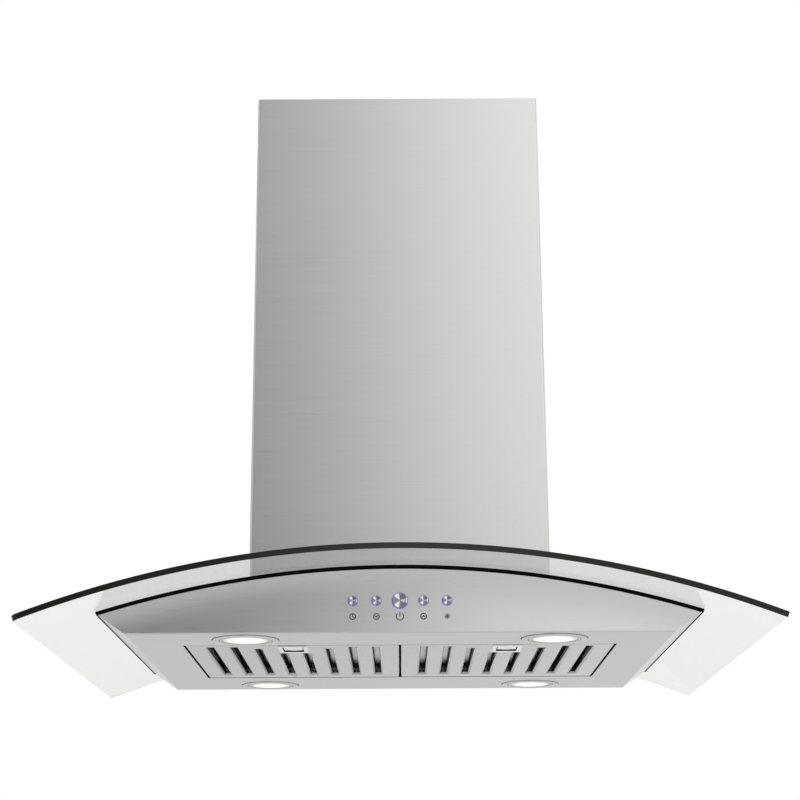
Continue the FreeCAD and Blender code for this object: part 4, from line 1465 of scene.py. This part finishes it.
@dataclass
class Stroke:
    """A printed line on the front panel.

    Attributes:
        width: Width of the line.
        lift: Thickness of the ink.
        step: Degrees of an arc per face.
    """

    width: float = 1.0 * MM
    lift: float = 0.04 * MM
    step: float = 10.0

    def arc(self, bm: BMesh, centre: tuple[float, float], radius: float, start: float = 0.0,
            end: float = 360.0) -> None:
        """Adds part of a circle.

        Args:
            bm: Mesh to add to.
            centre: (x, z) of the circle.
            radius: Radius of the line's middle.
            start: First angle in degrees, from +X towards +Z.
            end: Last angle in degrees.
        """
        x, z = centre
        y = SIZES.body_front
        first = Matrix.Translation((x, 0, z)) @ Matrix.Rotation(-math.radians(start), 4, "Y")
        ends = [first @ Vector((radius + side * self.width / 2, y, 0)) for side in (-1, 1)]
        verts = [bm.verts.new(end_point) for end_point in ends]
        edge = bm.edges.new(verts)
        bmesh.ops.spin(bm, geom=verts + [edge], cent=(x, y, z), axis=(0, -1, 0), dvec=(0, 0, 0),
                       angle=math.radians(end - start), steps=int((end - start) / self.step),
                       use_merge=end - start >= 360, use_normal_flip=False, use_duplicate=False)

    def line(self, bm: BMesh, start: tuple[float, float], end: tuple[float, float]) -> None:
        """Adds a straight line.

        Args:
            bm: Mesh to add to.
            start: (x, z) of one end.
            end: (x, z) of the other end.
        """
        first = Vector((start[0], SIZES.body_front, start[1]))
        last = Vector((end[0], SIZES.body_front, end[1]))
        along = last - first
        turn = Matrix.Rotation(-math.atan2(along.z, along.x), 4, "Y")
        place = (Matrix.Translation((first + last) / 2) @ turn
                 @ Matrix.Rotation(QUARTER_TURN, 4, "X")
                 @ Matrix.Diagonal(((along.length + self.width) / 2, self.width / 2, 1, 1)))
        bmesh.ops.create_grid(bm, x_segments=1, y_segments=1, size=1.0, matrix=place)

    def thicken(self, bm: BMesh) -> None:
        """Gives the lines their ink thickness, towards the front.

        Args:
            bm: Mesh of the flat lines.
        """
        bmesh.ops.remove_doubles(bm, verts=bm.verts, dist=WELD)
        made = bmesh.ops.extrude_face_region(bm, geom=bm.faces[:])
        lifted = [part for part in made["geom"] if isinstance(part, BMVert)]
        bmesh.ops.translate(bm, verts=lifted, vec=(0, -self.lift, 0))
        bmesh.ops.recalc_face_normals(bm, faces=bm.faces)


@dataclass
class ControlPanel(SubAssembly):
    """Five push buttons, their lit rings and the icons under them.

    Attributes:
        pitch: Distance between buttons.
        cap: Radius of a small cap.
        power_cap: Radius of the power button's cap.
        proud: How far the caps stand out of the panel.
        dish: (share of the dish's radius, depth) of points on the dished face.
        dish_rim: Width of the rim round the dish.
        dish_edge: Width of the slope between dish and rim.
        cap_edge: Size of the rounding between face and side.
        cap_bulge: How far the middle of that rounding lies inside both.
        shank_gap: How far the shank's sides lie inside the square that fits the cap's circle.
        shank_edge: Rounding of the shank.
        collar: Start and end of the shank's collar behind the panel.
        collar_margin: How far the collar stands out of the shank.
        light_gap: Width of the lit ring round a cap.
        clearance: Gap between cap and ring.
        ring_edge: Width of the ring's sloped edges.
        ring_proud: How far the ring stands out of the panel.
        halo: Width of the painted glow round each ring, on the panel.
        halo_proud: How far the painted glow stands out of the panel.
        icon_drop: From a button's middle down to its icon.
        icon_radius: Radius of an icon, to the middle of its line.
        steps: Faces round a cap.
    """

    pitch: float = 24.0 * MM
    cap: float = 4.5 * MM
    power_cap: float = 7.5 * MM
    proud: float = 2.4 * MM
    dish: Profile = ((0.0, 0.30 * MM), (0.45, 0.26 * MM), (0.8, 0.16 * MM), (1.0, 0.04 * MM))
    dish_rim: float = 0.9 * MM
    dish_edge: float = 0.25 * MM
    cap_edge: float = 0.35 * MM
    cap_bulge: float = 0.1 * MM
    shank_gap: float = 0.25 * MM
    shank_edge: float = 0.2 * MM
    collar: tuple[float, float] = (3.7 * MM, 4.7 * MM)
    collar_margin: float = 1.6 * MM
    light_gap: float = 0.7 * MM
    clearance: float = 0.06 * MM
    ring_edge: float = 0.12 * MM
    ring_proud: float = 0.08 * MM
    halo: float = 0.6 * MM
    halo_proud: float = 0.05 * MM
    icon_drop: float = 16.0 * MM
    icon_radius: float = 2.95 * MM
    steps: int = 72

    def places(self) -> list[tuple[Icon, float, float]]:
        """Finds the buttons.

        Returns:
            Each button's icon, x and cap radius, from left to right.
        """
        icons = list(Icon)
        middle = icons.index(Icon.POWER)
        radii = [self.power_cap if icon is Icon.POWER else self.cap for icon in icons]
        return [(icon, (k - middle) * self.pitch, radii[k]) for k, icon in enumerate(icons)]

    def build(self) -> None:
        """Builds the buttons, the lit rings with a painted glow round them on the panel, and the
        icons.
        """
        for icon, x, radius in self.places():
            self._button(f"button_{icon.value}", x, radius)
        low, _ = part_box("light_guide")
        rear = SIZES.body_front - low[1]
        start, end = self.clearance, self.light_gap
        self._rings("light_rings", "ring", [
            (start, 0.0), (start + self.ring_edge, self.ring_proud),
            (end - self.ring_edge, self.ring_proud), (end, 0.0), (end, rear), (start, rear)])
        # Painted light: a faint glowing ring round each lit ring stands for its light spilling on
        # the panel.
        self._rings("light_halos_painted_glow", "halo", [
            (end, 0.0), (end, self.halo_proud), (end + self.halo / 2, self.halo_proud),
            (end + self.halo, 0.0)])
        bm = bmesh.new()
        stroke = Stroke()
        for icon, x, _ in self.places():
            self._icon(bm, stroke, icon, x, SIZES.button_z - self.icon_drop)
        stroke.thicken(bm)
        finish_mesh(bm)
        self.add(bm, "control_icons", "ink", "dark_plastic")

    def _button(self, node: str, x: float, radius: float) -> None:
        """Builds a turned cap with a dished face, and its keyed shank behind.

        Args:
            node: CAD node and body of the button.
            x: Its place along the width.
            radius: Radius of its cap.
        """
        low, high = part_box(node)
        front, z = self.proud, SIZES.button_z
        start = SIZES.body_front + SIZES.sheet
        rear = start - low[1] - self.proud
        dish = radius - self.dish_rim
        profile = [(share * dish, front - depth) for share, depth in self.dish]
        profile += [
            (dish + self.dish_edge, front), (radius - self.cap_edge, front),
            (radius - self.cap_bulge, front - self.cap_bulge), (radius, front - self.cap_edge),
            (radius, -rear), (0.0, -rear),
        ]
        place = facing_front(x, SIZES.body_front, z)
        bm = bmesh.new()
        revolve(bm, profile, place, self.steps)
        shank = radius * math.sqrt(2) / 2 - self.shank_gap
        near, far = self.collar
        for half, y0, y1 in ((shank, start, high[1]),
                             (shank + self.collar_margin, start + near, start + far)):
            block(bm, (x - half, y0, z - half), (x + half, y1, z + half), self.shank_edge)
        finish_mesh(bm)
        polar_map(bm, place, self.power_cap)
        self.add(bm, f"{node}_turned", "spun", "spun_metal", node, [node])

    def _rings(self, name: str, finish: str, section: Profile) -> None:
        """Turns one section round every cap, as a single piece.

        Args:
            name: Name of the piece.
            finish: Key of its finish.
            section: (distance from the cap's side, height over the panel) along the outline.
        """
        bm = bmesh.new()
        for _, x, radius in self.places():
            profile = [(radius + out, height) for out, height in section]
            place = facing_front(x, SIZES.body_front, SIZES.button_z)
            revolve(bm, profile, place, self.steps, closed=True)
        finish_mesh(bm)
        self.add(bm, name, finish, "light_ring")

    def _icon(self, bm: BMesh, stroke: Stroke, icon: Icon, x: float, z: float) -> None:
        """Draws one icon. The bare numbers are shares of its radius, or degrees.

        Args:
            bm: Mesh to add to.
            stroke: Line to draw with.
            icon: What to draw.
            x: Its middle along the width.
            z: Height of its middle.
        """
        size = self.icon_radius
        if icon is Icon.TIMER:
            stroke.arc(bm, (x, z), size)
            stroke.line(bm, (x, z), (x, z + 0.55 * size))
            stroke.line(bm, (x, z), (x + 0.45 * size, z - 0.25 * size))
        elif icon in (Icon.SLOWER, Icon.FASTER):
            lift = 0.22 * size if icon is Icon.FASTER else -0.22 * size
            stroke.arc(bm, (x, z), size)
            for side in (-0.48, 0.48):
                stroke.line(bm, (x + side * size, z - lift), (x, z + lift))
        elif icon is Icon.POWER:
            size *= 1.28
            stroke.arc(bm, (x, z), size, 130, 410)
            stroke.line(bm, (x, z + 0.15 * size), (x, z + size))
        else:
            stroke.arc(bm, (x, z), 0.20 * size)
            for k in range(8):
                ray = (size * math.cos(math.tau * k / 8), size * math.sin(math.tau * k / 8))
                near, far = ((x + share * ray[0], z + share * ray[1]) for share in (0.62, 0.78))
                stroke.line(bm, near, far)


# ------------------------------------------------------------------------------ filters
@dataclass
class BaffleFilter(SubAssembly):
    """One baffle filter: slotted face, hooks, latch housing, latch and the painted shadow strip
    behind it.

    Attributes:
        side: "left" or "right".
        width: Width of the filter.
        front: Front edge.
        rear: Rear edge.
        height: Height of its folded rim.
        rim_radius: Radius of that fold.
        sheet: Thickness of its sheet.
        slot_width: Width of a slot between its lips.
        slot_pitch: Distance between slots.
        slot_rear_margin: From the rear edge to the slots.
        slot_front_margins: From the front edge to each slot, from left to right.
        lip: Height of the rolled lips.
        lip_radius: Radius of their roll.
        plate_width: Width of the latch plate.
        plate_depth: Depth of the latch plate.
        plate_inset: From the front edge to the plate.
        plate_proud: How far the plate stands below the face.
        window_width: Width of the finger window.
        window_depth: Depth of the finger window.
        window_inset: From the plate's front edge to the window.
        cup_height: Height of the cup behind the window.
        cup_radius: Radius at the rim of the window.
        cup_gap: Gap between cup and face.
        cup_edge: Rounding of the cup's top.
        painted_shade_from: Height in the window from which its walls are painted black as shade.
        skin: How far the finger plate lies behind the latch plate's face.
        slide_gap: Gap in front of the finger plate.
        slide_edge: Rounding of the finger plate.
        tongue_half: Half width of the latch's tongue.
        tongue_rise: Height of the tongue over the face.
        tongue_height: Thickness of the tongue.
        tongue_lap: How far the tongue reaches into the finger plate.
        hook_spacing: Distance between the rear hooks.
        hook_width: Width of a hook.
        hook_rise: Height of a hook over the pan's sheet.
        strip_y: Rear edge of the black strip of painted shadow on the pan.
        strip_depth: Depth of that strip.
        strip_rise: How far the strip lies above the pan's face.
        strip_edge: Rounding of the strip.
        soft: Rounding of the hooks and the tongue.
    """

    side: str
    width: float = 226.0 * MM
    front: float = -142.0 * MM
    rear: float = 110.0 * MM
    height: float = 12.0 * MM
    rim_radius: float = 1.6 * MM
    sheet: float = 0.8 * MM
    slot_width: float = 7.2 * MM
    slot_pitch: float = 25.25 * MM
    slot_rear_margin: float = 24.0 * MM
    slot_front_margins: tuple[float, ...] = tuple(
        margin * MM for margin in (14.0, 14.0, 26.0, 59.0, 59.0, 26.0, 14.0, 14.0))
    lip: float = 5.0 * MM
    lip_radius: float = 2.2 * MM
    plate_width: float = 31.0 * MM
    plate_depth: float = 46.0 * MM
    plate_inset: float = 3.0 * MM
    plate_proud: float = 0.8 * MM
    window_width: float = 21.0 * MM
    window_depth: float = 30.0 * MM
    window_inset: float = 9.0 * MM
    cup_height: float = 8.6 * MM
    cup_radius: float = 1.0 * MM
    cup_gap: float = 0.05 * MM
    cup_edge: float = 0.2 * MM
    painted_shade_from: float = 0.25 * MM
    skin: float = 0.35 * MM
    slide_gap: float = 0.5 * MM
    slide_edge: float = 0.35 * MM
    tongue_half: float = 5.5 * MM
    tongue_rise: float = 2.2 * MM
    tongue_height: float = 2.0 * MM
    tongue_lap: float = 1.0 * MM
    hook_spacing: float = 140.0 * MM
    hook_width: float = 20.0 * MM
    hook_rise: float = 0.5 * MM
    strip_y: float = 112.5 * MM
    strip_depth: float = 0.45 * MM
    strip_rise: float = 0.05 * MM
    strip_edge: float = 0.1 * MM
    soft: float = 0.25 * MM

    @property
    def body(self) -> str:
        """Body of the filter."""
        return f"filter_{self.side}"

    @property
    def box(self) -> tuple[Sequence[float], Sequence[float]]:
        """Lowest and highest corner of the CAD's face."""
        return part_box(f"{self.body}_face")

    @property
    def centre(self) -> float:
        """Middle of the filter along the width."""
        low, high = self.box
        return (low[0] + high[0]) / 2

    @property
    def plate_z(self) -> float:
        """Height of the latch plate's face."""
        return SIZES.pan_z - self.plate_proud

    @property
    def window(self) -> tuple[float, float, float, float]:
        """(x0, x1, y0, y1) of the finger window, centred on x = 0."""
        half, start = self.window_width / 2, self.front + self.plate_inset + self.window_inset
        return -half, half, start, start + self.window_depth

    def build(self) -> None:
        """Builds the face, the latch housing, the latch and the painted shadow strip behind the
        filter.
        """
        self._face()
        self._latch_housing()
        self._latch_slide()
        self._rear_shadow_strip()

    def _window_grown(self, by: float) -> tuple[float, float, float, float]:
        """The finger window with a margin all round.

        Args:
            by: The margin.

        Returns:
            Its (x0, x1, y0, y1).
        """
        x0, x1, y0, y1 = self.window
        return x0 - by, x1 + by, y0 - by, y1 + by

    def _face(self) -> None:
        """Builds the slotted face with rolled lips, folded rim and rear hooks."""
        half = self.slot_width / 2
        first = -(len(self.slot_front_margins) - 1) * self.slot_pitch / 2
        openings = []
        for k, margin in enumerate(self.slot_front_margins):
            x = first + k * self.slot_pitch
            openings.append((x - half, x + half, self.front + margin,
                             self.rear - self.slot_rear_margin))
        x0, x1, y0, y1 = self._window_grown(self.sheet)
        openings.append((x0 - self.cup_gap, x1 + self.cup_gap, y0, y1))
        bm = PressedSheet(self.width / 2, self.front, self.rear, self.lip, self.lip_radius,
                          self.sheet, openings, self.height, self.rim_radius).build(SIZES.pan_z)
        z = SIZES.pan_z + SIZES.sheet + self.hook_rise
        _, high = self.box
        for middle in (-self.hook_spacing / 2, self.hook_spacing / 2):
            block(bm, (middle - self.hook_width / 2, self.rear - self.sheet, z),
                  (middle + self.hook_width / 2, high[1], z + self.sheet), self.soft)
        bmesh.ops.translate(bm, verts=bm.verts, vec=(self.centre, 0, 0))
        finish_mesh(bm)
        self.add(bm, f"{self.body}_slotted_face", "filter", "stainless", self.body,
                 [f"{self.body}_face"])

    def _latch_housing(self) -> None:
        """Builds the bright plate with its finger window, and the cup behind it, its walls in the
        window painted black as shade.
        """
        front = self.front + self.plate_inset
        bm = PressedSheet(self.plate_width / 2, front, front + self.plate_depth,
                          self.cup_height + self.plate_proud - self.sheet, self.cup_radius,
                          self.sheet, [self.window]).build(self.plate_z)
        top = SIZES.pan_z + self.cup_height
        x0, x1, y0, y1 = self._window_grown(self.sheet)
        block(bm, (x0, y0, top - self.sheet), (x1, y1, top), self.cup_edge)
        x0, x1, y0, y1 = self._window_grown(1.5 * self.sheet)
        bmesh.ops.translate(bm, verts=bm.verts, vec=(self.centre, 0, 0))
        finish_mesh(bm)
        # Painted shade: the cup's walls seen through the window take the black rubber finish.
        for face in bm.faces:
            middle = face.calc_center_median()
            if (middle.z > self.plate_z + self.painted_shade_from and x0 < middle.x - self.centre < x1
                    and y0 < middle.y < y1):
                face.material_index = 1
        housing = self.add(bm, f"latch_{self.side}_housing", "bright", "bright_metal", self.body,
                           [f"latch_{self.side}_plate"])
        housing.data.materials.append(self.finishes["seal"])

    def _latch_slide(self) -> None:
        """Builds the sliding latch: a bright finger plate on its tongue."""
        node = f"latch_{self.side}_slide"
        low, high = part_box(node)
        y0 = self.window[2] + self.slide_gap
        middle = (low[0] + high[0]) / 2
        rise = SIZES.pan_z + self.tongue_rise
        bm = bmesh.new()
        block(bm, (low[0], y0, self.plate_z + self.skin), tuple(high), self.slide_edge)
        block(bm, (middle - self.tongue_half, low[1], rise),
              (middle + self.tongue_half, y0 + self.tongue_lap, rise + self.tongue_height),
              self.soft)
        finish_mesh(bm)
        self.add(bm, f"{node}_plate", "bright", "bright_metal", f"latch_{self.side}", [node])

    def _rear_shadow_strip(self) -> None:
        """Builds the black strip of painted shadow on the pan, in the gap behind the filter."""
        low, high = self.box
        # Painted shadow: a black strip stands for the shade in the gap behind the filter.
        bm = bmesh.new()
        block(bm, (low[0], self.strip_y - self.strip_depth, SIZES.pan_z + self.strip_rise),
              (high[0], self.strip_y, SIZES.pan_z + SIZES.sheet), self.strip_edge, 1)
        finish_mesh(bm)
        self.add(bm, f"pan_shadow_strip_{self.side}", "seal", "seal")


# ------------------------------------------------------------------------------ studio
@dataclass(frozen=True)
class SoftLamp:
    """A large square lamp.

    Attributes:
        name: Name of the lamp.
        place: Where it hangs.
        size: Length of its sides.
        watts: Its power.
    """

    name: str
    place: Point
    size: float
    watts: float


@dataclass(frozen=True)
class SoftStep:
    """A soft step of brightness across the surroundings.

    Attributes:
        start: Part of the direction at which it begins.
        end: Part of the direction at which it ends.
        low: Brightness before it.
        high: Brightness after it.
    """

    start: float
    end: float
    low: float
    high: float

    def along(self, graph: NodeGraph, part: Socket) -> Socket:
        """The step along one part of the direction."""
        return graph.spread(part, self.low, self.high, self.start, self.end, smooth=True)


@dataclass
class Studio:
    """Camera, light, floor and surroundings.

    Attributes:
        camera_place: Where the photograph was taken from.
        pitch: Upward tilt in degrees.
        yaw: Turn to the right in degrees.
        roll: Roll in degrees.
        lens: Focal length in millimetres.
        sensor: Width of the sensor in millimetres.
        near: Nearest distance that is shown.
        lamps: The lamps.
        target: Point that the lamps are turned to.
        floor_z: Height of the floor.
        floor_radius: Radius of the floor.
        floor_in_gloss: Brightness of the floor in reflections.
        room: Room behind the camera, from its lower to its upper part.
        room_sides: What is added to it from left to right.
        turn: Change from the room to the wall behind the hood.
        wall: That wall, from its lower to its upper part.
        wall_side: What is added to it from left to right.
    """

    camera_place: Point = (-0.00045, -1.98820, -0.91835)
    pitch: float = 16.587
    yaw: float = 0.054
    roll: float = -0.303
    lens: float = 78.88
    sensor: float = 36.0
    near: float = 0.01
    lamps: tuple[SoftLamp, ...] = (SoftLamp("key", (2.2, -2.6, 0.3), 3.0, 10.0),
                                   SoftLamp("fill", (-2.4, -1.8, -0.6), 2.4, 7.0))
    target: Point = (0.0, 0.0, -0.4)
    floor_z: float = -2.4
    floor_radius: float = 9.0
    floor_in_gloss: float = 0.78
    room: SoftStep = SoftStep(0.12, 0.50, 0.60, 1.00)
    room_sides: tuple[SoftStep, ...] = (
        SoftStep(-0.07, 0.06, -0.48, 0.58), SoftStep(0.14, 0.30, 0.0, -0.46),
        SoftStep(-0.60, -0.30, 0.30, 0.0))
    turn: SoftStep = SoftStep(-0.1, 0.25, 0.0, 1.0)
    wall: SoftStep = SoftStep(-0.17, -0.11, 0.70, 0.94)
    wall_side: SoftStep = SoftStep(-0.05, 0.15, -0.01, 0.14)

    def build(self) -> None:
        """Builds the studio."""
        self._camera()
        self._world()
        self._lamps()
        self._floor()
        bpy.context.scene.view_settings.view_transform = "Standard"

    def _camera(self) -> None:
        """Sets the camera at the photograph's viewing angle."""
        data = bpy.data.cameras.new("camera")
        data.lens = self.lens
        data.sensor_width = self.sensor
        data.clip_start = self.near
        camera = bpy.data.objects.new("camera", data)
        pitch, yaw, roll = (math.radians(angle) for angle in (self.pitch, self.yaw, self.roll))
        ahead = Vector((math.sin(yaw) * math.cos(pitch), math.cos(yaw) * math.cos(pitch),
                        math.sin(pitch)))
        level = Vector((math.cos(yaw), -math.sin(yaw), 0.0))
        upright = level.cross(ahead)
        right = level * math.cos(roll) + upright * math.sin(roll)
        up = upright * math.cos(roll) - level * math.sin(roll)
        turn = Matrix((right, up, -ahead)).transposed().to_4x4()
        camera.matrix_world = Matrix.Translation(self.camera_place) @ turn
        bpy.context.scene.collection.objects.link(camera)
        bpy.context.scene.camera = camera

    def _world(self) -> None:
        """White where it is seen directly or through glass; in gloss a room, darker to the left."""
        world = bpy.data.worlds.new("surroundings")
        graph = NodeGraph(world)
        x, y, z = graph.split(graph.node("TexCoord").outputs["Generated"])
        room = self.room.along(graph, z)
        for side in self.room_sides:
            room = graph.math("ADD", room, side.along(graph, x))
        wall = graph.math("ADD", self.wall.along(graph, z), self.wall_side.along(graph, x))
        around = graph.choice(self.turn.along(graph, y), room, wall)
        path = graph.node("LightPath")
        direct = graph.math("MAXIMUM", path.outputs["Is Camera Ray"],
                            path.outputs["Is Transmission Ray"])
        background = graph.node("Background")
        background.inputs["Color"].default_value = (1.0, 1.0, 1.0, 1.0)
        graph.link(graph.choice(direct, around, 1.0), background.inputs["Strength"])
        output = graph.node("OutputWorld")
        graph.link(background.outputs["Background"], output.inputs["Surface"])
        bpy.context.scene.world = world

    def _lamps(self) -> None:
        """Hangs the large soft lamps."""
        for lamp in self.lamps:
            data = bpy.data.lights.new(lamp.name, "AREA")
            data.size = lamp.size
            data.energy = lamp.watts
            made = bpy.data.objects.new(lamp.name, data)
            made.location = lamp.place
            ray = Vector(self.target) - Vector(lamp.place)
            made.rotation_euler = ray.to_track_quat("-Z", "Y").to_euler()
            bpy.context.scene.collection.objects.link(made)

    def _floor(self) -> None:
        """Lays the plain pale floor below the hood, with one pale value in reflections."""
        bm = bmesh.new()
        bmesh.ops.create_circle(bm, cap_ends=True, segments=96, radius=self.floor_radius,
                                matrix=Matrix.Translation((0, 0, self.floor_z)))
        mesh = bpy.data.meshes.new("floor")
        bm.to_mesh(mesh)
        bm.free()
        graph = MaterialGraph("floor_paint")
        cloud = graph.noise(graph.object_coords(), scale=3.0)
        graph.noisy_colour(cloud, (0.84, 0.84, 0.83), (0.88, 0.88, 0.87))
        graph.set(Roughness=0.7)
        graph.plain_where(graph.node("LightPath").outputs["Is Glossy Ray"], self.floor_in_gloss)
        mesh.materials.append(graph.material)
        floor = bpy.data.objects.new("floor", mesh)
        bpy.context.scene.collection.objects.link(floor)


# ------------------------------------------------------------------------------ whole hood
def corners(bounds: Iterable[Iterable[float]]) -> list[list[float]]:
    """Bounds as plain lists of numbers."""
    return [[float(value) for value in corner] for corner in bounds]


def main() -> None:
    """Builds the hood on its frame."""
    logging.basicConfig(level=logging.INFO, format="%(name)s: %(message)s")
    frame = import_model()
    finishes = FinishBook()
    finishes.dress_frame(frame["nodes"], frame["record"]["subparts"])
    GlassCanopy(finishes).build()
    GlassSeal(finishes).build()
    ChimneyCovers(finishes).build()
    Lamps(finishes).build()
    ControlPanel(finishes).build()
    for side in ("left", "right"):
        BaffleFilter(finishes, side).build()
    Studio().build()


if __name__ == "__main__":
    main()
